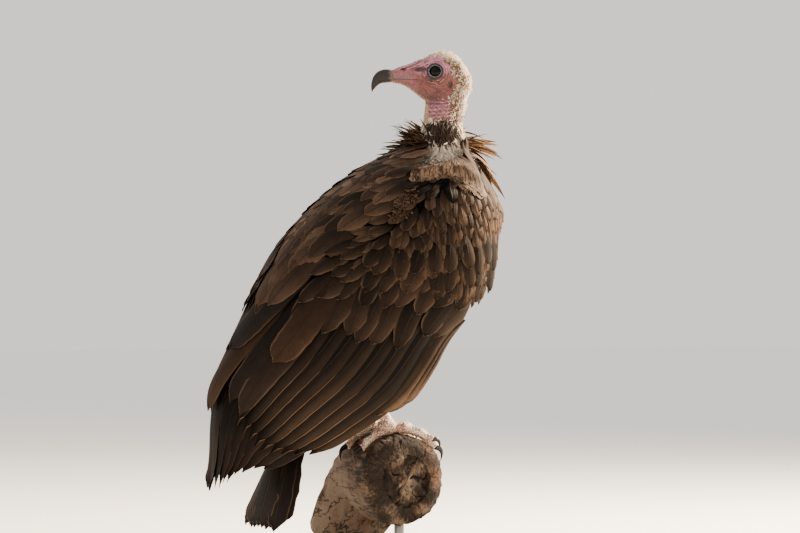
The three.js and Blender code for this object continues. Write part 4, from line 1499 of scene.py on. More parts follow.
@dataclass
class Eye:
    """One eyeball."""

    label: str
    sign: int  # 1 is the left
    radius: float = 9.0
    bulge: float = 0.5  # of the cornea over the ball

    def build(self) -> Piece:
        """Builds the ball with its slightly fuller cornea, and dresses it.

        Returns:
            The finished eye.
        """
        forward, out, up = Skin.eye
        centre = head_point(forward, self.sign * out, up).reshape(3)
        Bench.pick()
        bpy.ops.mesh.primitive_uv_sphere_add(segments=64, ring_count=40, radius=self.radius * MM, location=centre * MM)
        ball = Bench.made(f"eyeball_{self.label}")
        offset = Bench.points(ball) - centre
        share = (offset @ (HEAD_LEFT * self.sign)) / self.radius
        Bench.move(ball, centre + offset + unit(offset) * (self.bulge * ease(share, 0.72, 0.95))[:, None])
        Bench.note(ball, "reach", np.sqrt(np.clip(1 - share**2, 0, 1)) + (share < 0) * 1.0)
        Bench.pick(ball)
        bpy.ops.object.shade_smooth()
        return Bench.hand_over(ball, "eye", EyeFinish(), f"eye_{self.label}")


@dataclass
class Bill:
    """The dark hooked horn of the upper bill."""

    path: Path = (
        # forward, up, half width, half height above and below
        (69.0, -0.8, 7.7, 7.8, 7.0), (73, -0.5, 7.9, 8.4, 7.8), (78, -0.7, 7.3, 8.6, 8.0), (82.5, -2.2, 6.4, 8.4, 7.4),
        (86.4, -5.2, 5.2, 7.2, 5.7), (89.4, -9.0, 3.9, 5.3, 3.9), (91.6, -12.9, 2.6, 3.4, 2.6),
        (92.9, -16.2, 1.3, 1.7, 1.3), (93.3, -19.0, 0.35, 0.4, 0.4),
    )

    def build(self) -> Piece:
        """Builds the horn and dresses it.

        Returns:
            The finished horn.
        """
        stations = [(*head_point(f, 0, u).reshape(3), *section) for f, u, *section in self.path]
        horn = Bench.loft("bill_horn", sweep(stations, HEAD_LEFT, 72, 40, 0.94))
        points = Bench.points(horn)
        f, left, u = head_place(points).T
        lip = hill(u, -5.4, 1.2) * ease(f, 84, 74) * ease(np.abs(left), 2, 5)
        Bench.move(horn, points + HEAD_LEFT * (np.sign(left) * lip * 0.5)[:, None])
        # Near the root only the upper side keeps the pale tone: a painted highlight along the top of the horn.
        share = (f - 70) / 14 + ease(u, -2, -14)
        Bench.map_out(horn, "Length", np.stack([left / 20 + 0.5, share], -1))
        return Bench.hand_over(horn, "bill_horn", HornFinish("Bill horn"), "bill_hook")


@dataclass
class Foot:
    """A scaly foot that grips the limb, with its four claws."""

    label: str
    sign: int  # 1 is the left
    side: float = 38.0
    back: float = 15.0
    toe_radius: float = 6.0
    pad_radius: float = 9.0
    voxel: float = 0.85
    scute: float = 3.4  # degrees over the limb from one plate to the next
    ankle: tuple[float, float] = (74.0, 268.0)
    toes: tuple[tuple[str, float, float, float, float, float], ...] = (
        # name, spread, start and end over the limb, girth, claw
        ("inner", -19, -13, 26, 0.95, 17), ("middle", -3, -13, 52, 1.05, 17),
        ("outer", 20, -13, 38, 0.9, 14), ("hind", -6, -18, -52, 0.9, 18),
    )

    def over_limb(self, angle: float, height: float, x: float) -> tuple[float, float, float]:
        """Gives a place at degrees from the limb's top towards the front, and at a height over its bark."""
        reach, turn = Perch.radius + height, math.radians(angle)
        return x, Perch.axis_y(x) - reach * math.sin(turn), Perch.height + reach * math.cos(turn)

    def toe_path(self, toe: tuple) -> list[tuple[float, ...]]:
        """Gives a toe's path with its knuckles.

        Args:
            toe: One row of the table of toes.

        Returns:
            Stations for a sweep.
        """
        _, spread, start, end, girth, _ = toe
        path = []
        for share in np.linspace(0, 1, 13):
            knuckle = 1 + 0.13 * math.cos(share * math.pi * 6)
            thick = self.toe_radius * girth * knuckle * float(blend(1.08, 0.82, share))
            x = self.sign * (self.side + spread * share)
            at = self.over_limb(float(blend(start, end, share)), thick * 1.02 + 0.2, x)
            path.append((*at, thick * 0.97, thick * 1.02, thick * 0.95))
        return path

    def build(self) -> None:
        """Builds the foot and its claws and dresses them."""
        x = self.sign * self.side
        y = Perch.axis_y(x) + self.back
        ball = Perch.height + Perch.radius + self.pad_radius
        shank = [
            (x, y - 4, ball - 1, 7.5, 7.5, 7.5), (x, y + 1, ball + 6, 7.0, 7.4, 7.4),
            (x + self.sign, blend(y, self.ankle[0], 0.33), ball + 24, 5.4, 6.1, 6.1),
            (x + self.sign * 3, blend(y, self.ankle[0], 0.68), ball + 47, 5.7, 6.4, 6.4),
            (x + self.sign * 4, *self.ankle, 7.6, 7.6, 7.6),
        ]
        masses = [Bench.loft("foot_mass", sweep(shank, SIDEWAYS, 40, 28))]
        Bench.pick()
        bpy.ops.mesh.primitive_uv_sphere_add(segments=32, ring_count=20, radius=self.pad_radius * MM)
        pad = bpy.context.active_object
        pad.scale = (1.15, 1.2, 0.92)
        pad.location = (x * MM, y * MM, ball * MM)
        masses.append(Bench.made("pad_mass"))
        masses += [Bench.loft("toe_mass", sweep(self.toe_path(toe), SIDEWAYS, 48, 24)) for toe in self.toes]
        foot = Bench.fuse(masses, f"scaly_foot_{self.label}", self.voxel, 4)
        self.scutes(foot)
        Bench.hand_over(foot, "leg_scales", ScaleFinish(), f"foot_{self.label}")
        for toe in self.toes:
            self.claw(toe)

    def scutes(self, foot: Piece) -> None:
        """Raises the plates along the tops of the toes and the front of the shank.

        Args:
            foot: The joined foot.
        """
        points, facing = Bench.points(foot), Bench.normals(foot)
        high = points[:, 2]
        turn = np.degrees(np.arctan2(Perch.axis_y(self.sign * self.side) - points[:, 1], high - Perch.height))
        ridge = np.abs(np.sin(turn * math.pi / self.scute)) ** 0.5
        on_top = ease(facing[:, 2] * 0.7 + np.abs(facing[:, 1]) * 0.4, 0.25, 0.6) * ease(high, 216, 206)
        shank = np.abs(np.sin(high * math.pi / 4.2)) ** 0.5 * ease(high, 206, 216)
        front = ease(-facing[:, 1], -0.2, 0.4)
        lift = 0.7 * (ridge - 0.75) * on_top + 0.55 * (shank - 0.75) * front + 0.18 * Ripple(21, 3)(points)
        Bench.move(foot, points + facing * lift[:, None])

    def claw(self, toe: tuple) -> None:
        """Builds one claw and dresses it.

        Args:
            toe: One row of the table of toes.
        """
        name, spread, start, end, girth, claw = toe
        radius = self.toe_radius * girth
        per_mm = math.copysign(1, end - start) * math.degrees(1 / Perch.radius)
        path = []
        for share in np.linspace(0, 1, 7):
            height = radius * 1.1 + 0.3 + 3.9 * math.sin(math.pi * share) - 3.2 * share**1.6
            x = self.sign * (self.side + spread + spread * 0.12 * share)
            at = self.over_limb(end + per_mm * (0.2 + claw * share), height, x)
            wide, deep = (float(blend(radius * part, 0.3, share**0.9)) for part in (0.60, 0.70))
            path.append((*at, wide, deep, deep))
        rings = sweep(path, SIDEWAYS, 28, 18)
        horn = Bench.loft(f"claw_horn_{name}_{self.label}", rings)
        share = np.linalg.norm(Bench.points(horn) - rings[0].mean(0), axis=1) / claw
        Bench.map_out(horn, "Length", np.stack([share * 0 + 0.5, share], -1))
        finish = HornFinish("Claw", tint(26, 22, 21), tint(96, 82, 72), 0.2, 0.28)
        Bench.hand_over(horn, "claws", finish, f"claw_{name}_{self.label}")


@dataclass
class Thigh:
    """The feathers of one thigh."""

    label: str
    sign: int  # 1 is the left

    @staticmethod
    def path(sign: int, inset: float) -> list[tuple[float, ...]]:
        """Gives the thigh's path from the ankle up.

        Args:
            sign: 1 for the left, -1 for the right.
            inset: How far the section shrinks.

        Returns:
            Stations for a sweep.
        """
        x, (y, z) = sign * Foot.side, Foot.ankle
        ankle = 9 - inset * 0.4
        return [(x + sign * 4, y + 2, z - 4, ankle, ankle, ankle)] + [
            (x + sign * out, back, up, wide - inset, deep - inset, deep - inset) for out, back, up, wide, deep in
            ((5, y - 2, z + 8, 14, 16), (8, 52, 298, 21, 27), (8, 26, 325, 24, 35), (4, 8, 356, 20, 30))
        ]

    def build(self) -> Piece:
        """Plants the thigh's feathers and dresses them.

        Returns:
            The finished feathers.
        """
        rng = np.random.default_rng(61 + self.sign)
        form = TubeForm([(*at, wide, 1.12 * high) for *at, wide, high, _ in reversed(self.path(self.sign, 1.0))])
        along, around = scatter_rows(form, (4, form.length - 14), (8.0, 8.5), (-math.pi, math.pi), rng, 0.5)
        count = len(along)
        planting = Planting(
            along, around, rng.normal(0, 0.2, count), rng.uniform(24, 34, count), rng.uniform(9, 13, count),
            dyed(tint(42, 31, 24), tint(92, 69, 53), rng.uniform(0, 1, count), rng), wear_and_light=0.45,
        )
        cut = VaneCut(VaneShape.LANCE, rows=5, columns=2, sink=-2.0, rise=1.0, camber=0.8, ragged=0.10)
        return Tract(f"thigh_feathers_{self.label}", form, cut, COAT_FINISH).build(planting, 60)


@dataclass
class Wing:
    """One folded wing: scapulars, coverts in three sizes, tertials, secondaries and primaries."""

    label: str
    sign: int  # around the coat: 1 is the right wing
    coat: Form = field(default_factory=ShoulderForm)
    girth: float = 265.0  # millimetres round the coat for one unit of the place around

    def heading(self, along: np.ndarray, around: np.ndarray) -> np.ndarray:
        """Gives the lie of the wing's small feathers.

        Args:
            along: Distance down the spine.
            around: Place round the right wing.

        Returns:
            The lie in radians from straight down the spine; positive runs towards the wing's front edge.
        """
        covert = blend(36, 9, ease(along, 70, 235)) * (1 - 0.85 * ease(around, 0.80, 1.04))
        scapular = -24 * ease(around, 0.02, 0.25)
        return np.radians(blend(scapular, covert, ease(around, 0.41, 0.52)))

    def lay(
        self, name: str, cut: VaneCut, at: Planting, finish: VaneFinish, seed: int, slot: str = "coat", stem: str = ""
    ) -> Piece:
        """Lays one tract on this wing's side.

        Args:
            name: The tract's name.
            cut: How its feathers are cut.
            at: Where they stand on the right wing.
            finish: Their finish.
            seed: The random seed.
            slot: The record's slot.
            stem: The plain solid that the tract replaces, without its side.

        Returns:
            The finished tract.
        """
        flips = {key: np.asarray(getattr(at, key)) * self.sign for key in ("around", "heading", "turn")}
        mirrored = replace(at, lap=at.lap * self.sign, **flips)
        nodes = (f"{stem}_{self.label}",) if stem else ()
        tract = Tract(f"{name}_{self.label}", self.coat, replace(cut, tilt=cut.tilt * self.sign), finish, slot, nodes)
        return tract.build(mirrored, seed + 7 * self.sign)

    def towards(self, along: np.ndarray, around: np.ndarray, tip: np.ndarray, tip_around: np.ndarray) -> tuple:
        """Gives the headings and lengths of feathers from the places of their roots to those of their tips."""
        drift = (tip_around - around) * self.coat.scale((along + tip) / 2, (around + tip_around) / 2)
        return np.arctan2(drift, tip - along), np.hypot(drift, tip - along)

    def lesser(self) -> None:
        """Lays the small scaly coverts over the shoulder, and those under the rolled edge."""
        rng = np.random.default_rng(101 + self.sign)
        sides = (0.34, 1.09 + 0.11 * (self.sign > 0))
        along, around = scatter_rows(self.coat, (-16, 176), (12.5, 8.4), sides, rng, 0.3)
        limit = Profile([(0.4, 196), (0.55, 168), (0.71, 134), (0.85, 104), (1.0, 74), (1.1, 80), (1.2, 74)])
        edge = ShoulderForm.edge
        keep = (along < limit(around) - 4) & (along > edge(around) - 4 - 16 * ease(around, 0.68, 0.80))
        keep &= (around > 0.42 - 0.08 * ease(along, 90, 170)) & ((around < 1.04) | (along < 58))
        along, around = along[keep], around[keep]
        count = len(along)
        big = ease(along, 10, 150)
        # Painted light: coverts towards the upper front edge of the wing get paler colours and stronger pale edges.
        lit = ease(around, 0.55, 0.98) * ease(along, 140, 60)
        front = ease(around, 0.66, 0.86) * ease(along, 10, 40)
        scruffy = ease(around, 0.64, 0.56) * ease(along, 70, 95)
        # Painted shade in the hollow under the rolled edge: those coverts are darkened and lose their pale edges; they
        # are also raised clear of the skin there.
        shaded_hollow = hill(along - edge(around), 20, 13) * ease(around, 0.36, 0.42) * ease(around, 0.62, 0.54)
        shade = dyed(tint(38, 28, 22), tint(104, 79, 60), 0.10 + 0.42 * lit + rng.uniform(-0.2, 0.32, count), rng)
        planting = Planting(
            along, around, self.heading(along, around) + rng.normal(0, 0.07, count) * (1 + 1.4 * scruffy),
            blend(28, 40, big) * rng.uniform(0.85, 1.15, count) * (1 + 0.55 * front - 0.16 * scruffy),
            blend(10.5, 15.5, big) * rng.uniform(0.85, 1.08, count) * (1 - 0.22 * front - 0.08 * scruffy),
            shade * (1 - 0.85 * shaded_hollow[:, None]), turn=-0.15, wear_and_light=(0.55 + 0.45 * lit) * (1 - shaded_hollow), raise_by=1.5 * shaded_hollow,
        )
        cut = VaneCut(VaneShape.ROUND, rows=7, columns=4, sink=-4.5, rise=2.2, camber=1.8, tilt=1.0, ragged=0.12)
        self.lay("lesser_coverts", cut, planting, COAT_FINISH, 110, stem="coverts")
        rng = np.random.default_rng(105 + self.sign)
        along, around = scatter_rows(self.coat, (-30, 62), (11, 7.5), (0.60, 1.12), rng, 0.2)
        count = len(along)
        planting = Planting(
            along, around, self.heading(along, around), rng.uniform(26, 32, count), rng.uniform(13, 16, count),
            dyed(tint(38, 28, 22), tint(80, 60, 46), rng.uniform(0, 1, count), rng), wear_and_light=0.5, raise_by=-3.0,
        )
        self.lay("under_coverts", cut, planting, COAT_FINISH, 112)

    def middle(self) -> None:
        """Lays the median and the greater coverts in their rows."""
        rng = np.random.default_rng(121 + self.sign)
        rows = (
            # where the tips end, length, width, gap, height over the coat
            (((0.4, 200), (0.55, 178), (0.71, 143), (0.85, 112), (1.0, 80)), 44, 20, 14.5, 2.0),
            (((0.4, 228), (0.55, 206), (0.71, 171), (0.85, 140), (1.0, 102)), 54, 23, 16, 1.2),
            (((0.36, 262), (0.55, 238), (0.71, 208), (0.85, 172), (1.0, 128)), 70, 26, 17.5, 0.4),
            (((0.36, 292), (0.58, 272), (0.72, 258), (0.87, 214), (1.0, 152)), 90, 29, 19, -0.6),
        )
        parts = []
        for tips, length, width, gap, high in rows:
            around = np.arange(0.34, 0.985, gap / self.girth) + rng.uniform(-0.008, 0.008)
            around = around + rng.normal(0, 0.008, len(around))
            along = Profile(tips)(around) - length * rng.uniform(0.95, 1.05, len(around))
            keep = around > 0.44 - along / 1400
            around, along = around[keep], along[keep]
            count = len(around)
            lie = self.heading(along + length / 2, around)
            parts.append((
                along, around - 0.0035 * np.degrees(lie) * length / 70 * 0.6, lie + rng.normal(0, 0.07, count),
                length * rng.uniform(0.86, 1.12, count), width * rng.uniform(0.86, 1.1, count),
                dyed(tint(30, 23, 18), tint(64, 49, 38), rng.uniform(0, 0.9, count), rng),
                rng.normal(-0.10, 0.08, count), rng.uniform(0.4, 0.75, count), np.full(count, high),
            ))
        merged = Planting(*(np.concatenate(column) for column in zip(*parts)), lap=0.7)
        cut = VaneCut(VaneShape.ROUND, rows=10, columns=6, sink=-4.5, rise=1.8, camber=2.0, tilt=1.6, ragged=0.04)
        self.lay("greater_coverts", cut, merged, COAT_FINISH, 130)

    def scapulars(self) -> None:
        """Lays the scapulars over the root of the wing."""
        rng = np.random.default_rng(141 + self.sign)
        along, around = scatter_rows(self.coat, (22, 205), (15, 15), (0.12, 0.50), rng)
        keep = (along > 26 + 26 * ease(around, 0.28, 0.42)) & (around < 0.41 - 0.13 * ease(along, 70, 190))
        along, around = along[keep], around[keep]
        count = len(along)
        big = ease(along, 30, 170)
        planting = Planting(
            along, around, self.heading(along, np.minimum(around, 0.4)) + rng.normal(0, 0.06, count),
            blend(40, 88, big) * rng.uniform(0.9, 1.1, count), blend(19, 32, big) * rng.uniform(0.93, 1.07, count),
            dyed(tint(44, 34, 28), tint(116, 90, 71), rng.uniform(0, 0.95, count) ** 1.2, rng),
            turn=0.12, wear_and_light=0.75, lap=0.6, raise_by=3.5 * ease(along, 110, 190),
        )
        cut = VaneCut(VaneShape.ROUND, rows=10, columns=6, sink=-4.5, rise=3.0, camber=2.0, tilt=-1.2, ragged=0.05)
        self.lay("scapular_feathers", cut, planting, COAT_FINISH, 150, stem="scapulars")

    def rolled_edge(self, count: int = 640, tufts: int = 120) -> None:
        """Lays the pale, mottled little feathers of the rolled shoulder edge and its ragged down.

        Args:
            count: How many feathers cover the edge.
            tufts: How many tufts of ragged down stand below it.
        """
        rng = np.random.default_rng(151 + self.sign)
        around = rng.uniform(0.335, 0.73, count)
        scaly = ease(around, 0.50, 0.56)
        beyond = rng.uniform(-14, 6, count) * (1 - 0.30 * ease(around, 0.42, 0.50))
        along = ShoulderForm.edge(around) + beyond
        mottle = Ripple(152, 5, 40)(self.coat.point(along, around)) * 0.24 + 0.5
        planting = Planting(
            along, around, rng.normal(0.30, 0.16, count), rng.uniform(10, 15, count) * (1 + 0.7 * scaly),
            rng.uniform(5.5, 8, count) * (1 + 0.8 * scaly),
            dyed(tint(44, 34, 28), tint(120, 98, 82), mottle + rng.uniform(-0.25, 0.25, count), rng),
            wear_and_light=0.35 + 0.65 * scaly, raise_by=blend(-2.0, 1.0, ease(beyond, -14, 0)),
        )
        cut = VaneCut(VaneShape.ROUND, rows=6, columns=4, sink=-3.0, rise=1.4, camber=0.9, tilt=0.0, ragged=0.08)
        self.lay("rolled_edge", cut, planting, ROLL_FINISH, 153)
        share = rng.uniform(0, 1, tufts)
        along = blend(66, 110, share) + rng.normal(0, 4, tufts)
        around = blend(0.405, 0.44, share) + rng.normal(0, 0.014, tufts)
        pale = tint(200, 164, 130) if self.sign < 0 else tint(140, 112, 88)
        planting = Planting(
            along, around, rng.normal(0.2, 0.6, tufts), rng.uniform(6, 10, tufts), rng.uniform(2.2, 4.0, tufts),
            dyed(tint(72, 52, 39), pale, rng.uniform(0, 1, tufts) ** 1.6, rng), wear_and_light=0.3, raise_by=0.5,
            turn=rng.normal(0, 0.5, tufts),
        )
        cut = VaneCut(VaneShape.LANCE, rows=6, columns=2, sink=-5.0, rise=2.0, camber=0.8, ragged=0.1, curl=2.5)
        self.lay("ragged_down", cut, planting, ROLL_FINISH, 154, "down")

    def tertials(self) -> None:
        """Lays the long inner feathers that cover the folded wing from above."""
        rng = np.random.default_rng(161 + self.sign)
        table = np.array([
            # root along, root around, tip along, tip around, width, shade, height over the coat
            (200, 0.26, 342, -0.02, 46, 0.1, 4.2), (206, 0.40, 337, 0.355, 41, 0.75, 2.6),
            (240, 0.20, 416, -0.06, 42, 0.9, 1.0), (222, 0.33, 400, 0.20, 40, 0.15, -0.6),
            (226, 0.40, 408, 0.33, 40, 0.3, -1.6), (150, 0.20, 262, 0.03, 38, 0.6, 1.4),
            (176, 0.26, 306, 0.06, 40, 0.4, 1.2),
        ])
        along, around, tip, tip_around, width, share, high = table.T
        if self.sign < 0:
            tip_around = np.maximum(tip_around, 0.03)
        planting = Planting(
            along, around, *self.towards(along, around, tip, tip_around), width,
            dyed(tint(33, 29, 27), tint(66, 47, 34), share, rng, 0.05),
            wear_and_light=0.7, raise_by=high * (1.0 if self.sign > 0 else 0.8), lap=0.45,
        )
        cut = VaneCut(VaneShape.LONG, rows=20, columns=8, sink=-4.0, rise=0.6, camber=2.4, tilt=-1.0, ragged=0.02)
        self.lay("tertial_feathers", cut, planting, COAT_FINISH, 170, "flight_feathers", "tertials")

    def secondaries(self, rng: np.random.Generator) -> None:
        """Lays the secondaries and the narrow feathers in front of them.

        Args:
            rng: The source of small differences.
        """
        share = np.linspace(0, 1, 9)
        tips = 420 + 12 * np.sin(share * math.pi) - 20 * share**3
        inner = (blend(0.40, 0.94, share), np.full(9, 160.0), tips, np.full(9, 38.0), share, share)
        outer = (  # the narrow feathers of the wing's front edge
            (0.97, 1.0, 1.02), (150, 160, 172), (318, 306, 288), (20, 15, 12), (1, 1, 1), (1.6, 2.0, 2.4),
        )
        around, along, tips, width, share, high = (np.append(a, b) for a, b in zip(inner, outer))
        # The narrow front-edge feathers are painted far paler: painted light along the lit front edge of the wing.
        narrow = high > 1.5
        shade = dyed(tint(28, 22, 18), tint(56, 43, 33), rng.uniform(0, 0.8, len(around)) + 2 * narrow, rng, 0.08)
        planting = Planting(
            along, around, np.radians(blend(-2.0, 1.5, share)), tips - along, width,
            shade * (1 + 1.6 * narrow[:, None]),
            turn=np.radians(-3.0), wear_and_light=blend(0.75, 1.0, share), raise_by=-5.4 + 1.4 * high, lap=1.0,
        )
        cut = VaneCut(VaneShape.LONG, rows=22, columns=6, sink=-4.0, rise=1.4, camber=1.8, tilt=2.6, ragged=0.02)
        self.lay("secondary_feathers", cut, planting, FLIGHT_FINISH, 190, "flight_feathers", "secondaries")

    def primaries(self, rng: np.random.Generator) -> None:
        """Lays the primaries, whose tips cross over the tail.

        Args:
            rng: The source of small differences.
        """
        low = -0.10 if self.sign > 0 else 0.06
        tip_around = np.array([low, low + 0.12, 0.16, 0.25, 0.34, 0.46, 0.58, 0.70, 0.80])
        tips = np.array([492.0, 489, 488, 482, 480, 469, 462, 450, 444])
        count = len(tips)
        along, around, share = np.full(count, 318.0), np.linspace(0.12, 0.84, count), np.linspace(0, 1, count)
        planting = Planting(
            along, around, *self.towards(along, around, tips, tip_around), np.full(count, 45.0),
            dyed(tint(22, 17, 15), tint(38, 28, 22), rng.uniform(0, 0.8, count), rng, 0.08),
            wear_and_light=0.4, raise_by=-8.0 + 1.0 * share, lap=0.8,
        )
        cut = VaneCut(VaneShape.LONG, rows=18, columns=6, sink=-3.0, rise=2.0, camber=1.4, tilt=1.8, ragged=0.03)
        self.lay("primary_feathers", cut, planting, FLIGHT_FINISH, 200, "flight_feathers", "primaries")

    def build(self) -> None:
        """Builds the wing's tracts from the lowest layer up."""
        rng = np.random.default_rng(181 + self.sign)
        self.secondaries(rng)
        self.primaries(rng)
        self.rolled_edge()
        self.tertials()
        self.middle()
        self.scapulars()
        self.lesser()


@dataclass
class Back:
    """The shield of feathers between the wings, and the rump beneath their tips."""

    def build(self) -> None:
        """Lays the mantle and the rump, and dresses them."""
        rng = np.random.default_rng(211)
        form = CoatForm()
        along, around = scatter_rows(form, (-4, 190), (13, 13), (-0.30, 0.30), rng)
        keep = np.abs(around) < 0.31 - 0.20 * ease(along, 60, 190)
        keep &= along > blend(-8, 4, ease(np.abs(around), 0.16, 0.28))
        along, around = along[keep], around[keep]
        count = len(along)
        big = ease(along, 0, 160)
        lie = np.radians(-26) * np.sign(around) * ease(np.abs(around), 0.02, 0.22)
        planting = Planting(
            along, around, lie + rng.normal(0, 0.08, count), blend(34, 74, big) * rng.uniform(0.9, 1.1, count),
            blend(13, 30, big) * rng.uniform(0.9, 1.1, count),
            dyed(tint(52, 39, 32), tint(124, 97, 77), rng.uniform(0, 0.9, count), rng), wear_and_light=0.6,
        )
        cut = VaneCut(VaneShape.ROUND, rows=8, columns=4, sink=-4.5, rise=2.2, camber=1.6, tilt=0.0, ragged=0.08)
        Tract("mantle_feathers", form, cut, COAT_FINISH, nodes=("mantle",)).build(planting, 212)
        along, around = scatter_rows(form, (170, 330), (20, 17), (-0.14, 0.14), rng)
        count = len(along)
        planting = Planting(
            along, around, rng.normal(0, 0.06, count), rng.uniform(60, 74, count), rng.uniform(26, 30, count),
            dyed(tint(28, 22, 18), tint(48, 36, 28), rng.uniform(0, 0.8, count), rng), wear_and_light=0.5, raise_by=-9.0,
        )
        Tract("rump_feathers", form, cut, COAT_FINISH).build(planting, 213)


@dataclass
class Breast:
    """The feathers of the breast, flanks, belly and under the tail."""

    def build(self) -> None:
        """Lays the front's feathers and dresses them."""
        rng = np.random.default_rng(221)
        form = TrunkForm()
        along, around = scatter_rows(form, (-34, 330), (12.5, 12.5), (1.35, TURN - 1.35), rng)
        count = len(along)
        big = ease(along, 0, 120)
        beside = np.abs(around - math.pi)
        crop = 0.35 * (ease(along, 70, 20) * ease(beside, 1.3, 0.6))[:, None]
        lie = (around - math.pi) * -0.10 * ease(along, 260, 120)
        flank = ease(beside, 1.0, 1.6) * ease(along, -30, -12) * ease(along, 75, 35)
        shade = dyed(tint(42, 31, 24), tint(78, 58, 44), rng.uniform(0, 0.9, count), rng)
        planting = Planting(
            along, around, lie + rng.normal(0, 0.07, count), blend(26, 42, big) * rng.uniform(0.9, 1.1, count),
            blend(12, 18, big) * rng.uniform(0.9, 1.1, count), blend(shade, tint(108, 85, 67), crop),
            wear_and_light=0.6, raise_by=8.0 * flank,
        )
        cut = VaneCut(VaneShape.LANCE, rows=6, columns=4, sink=-6.0, rise=-0.6, camber=0.8, tilt=0.0, ragged=0.10)
        Tract("breast_feathers", form, cut, COAT_FINISH).build(planting, 222)
        along, around = scatter_rows(form, (315, 372), (12, 12), (0.0, TURN), rng)
        count = len(along)
        planting = Planting(
            along, around, rng.normal(0, 0.08, count), rng.uniform(52, 64, count), rng.uniform(18, 24, count),
            dyed(tint(34, 26, 21), tint(62, 47, 37), rng.uniform(0, 0.9, count), rng), wear_and_light=0.4,
        )
        Tract("vent_feathers", form, cut, COAT_FINISH).build(planting, 223)


class TailForm(Form):
    """The fanned sheet of the tail; around runs from -1 to 1 across it."""

    unwrap = (-1.2, 1.2, 300.0, 520.0)

    def __init__(self) -> None:
        """Keeps the tail's height and half width."""
        self.height = Profile([(268, 30), (330, 21), (400, -2), (500, -32)])
        self.half = Profile([(268, 18), (330, 30), (400, 38), (440, 50), (500, 68)])

    def point(self, along: np.ndarray, around: np.ndarray, lift: Numbers = 0.0) -> np.ndarray:
        """Gives places on the tail; see Form."""
        droop = 10 * around**2 * (1 - 0.3 * ease(along, 338, 500))
        return spine_point(along, self.height(along) - droop + np.asarray(lift), around * self.half(along))


@dataclass
class Tail:
    """The twelve tail feathers."""

    count: int = 12
    root: float = 332.0
    tip: float = 498.0
    width: float = 27.0

    def build(self) -> Piece:
        """Lays the tail feathers and dresses them.

        Returns:
            The finished tail.
        """
        rng = np.random.default_rng(231)
        around = np.linspace(-0.8, 0.8, self.count)
        along = np.full(self.count, self.root)
        length = self.tip - 14 * around**2 - along + rng.normal(0, 2.0, self.count)
        planting = Planting(
            along, around, np.zeros(self.count), length, np.full(self.count, self.width),
            dyed(tint(22, 17, 15), tint(38, 29, 24), rng.uniform(0, 0.8, self.count), rng, 0.08),
            wear_and_light=0.5, raise_by=-2.4 - 3.0 * np.abs(around),
        )
        cut = VaneCut(VaneShape.LONG, rows=16, columns=6, sink=-1.0, rise=0.6, camber=1.3, tilt=0.8, ragged=0.09)
        tract = Tract("tail_feathers", TailForm(), cut, FLIGHT_FINISH, "flight_feathers", ("tail",))
        return tract.build(planting, 232)


@dataclass(frozen=True)
class Down:
    """How one coat of tufts is coloured, how it lies and how it stands on the skin."""

    name: str
    finish: DownFinish
    low: Colour
    high: Colour
    length: tuple[float, float]
    width: tuple[float, float]
    steep: tuple[float, float]  # how far tufts stand up from the skin
    stray: float
    sink: float
    bend: float
    sway: float
    seed: int
    rows: int = 4
    camber: float = 0.3
    vary: float = 0.06
    favour: float = 1.0  # over 1, more tufts have the low colour


WOOL = Down(
    "head_wool", DownFinish("Head wool", tint(176, 142, 114), 0.5), tint(236, 218, 194), tint(254, 248, 238),
    (2.4, 4.0), (0.86, 1.4), (0.3, 0.9), 0.30, 0.6, 0.5, 0.35, 242, rows=3,
)
COLLAR_DOWN = Down(
    "collar_down", DownFinish("Collar down", tint(176, 148, 126), 0.5), tint(186, 162, 140), tint(246, 232, 214),
    (10, 16), (1.6, 2.8), (0.1, 0.45), 0.25, 1.0, 0.15, 0.3, 252, camber=0.4,
)
COLLAR_HAIR = Down(
    "collar_hair", DownFinish("Collar hair", tint(20, 15, 13), 0.6), tint(22, 16, 13), tint(84, 60, 44),
    (11, 18), (1.3, 2.2), (0.15, 0.5), 0.18, 0.5, 0.1, 0.15, 253, vary=0.1, favour=2.2,
)


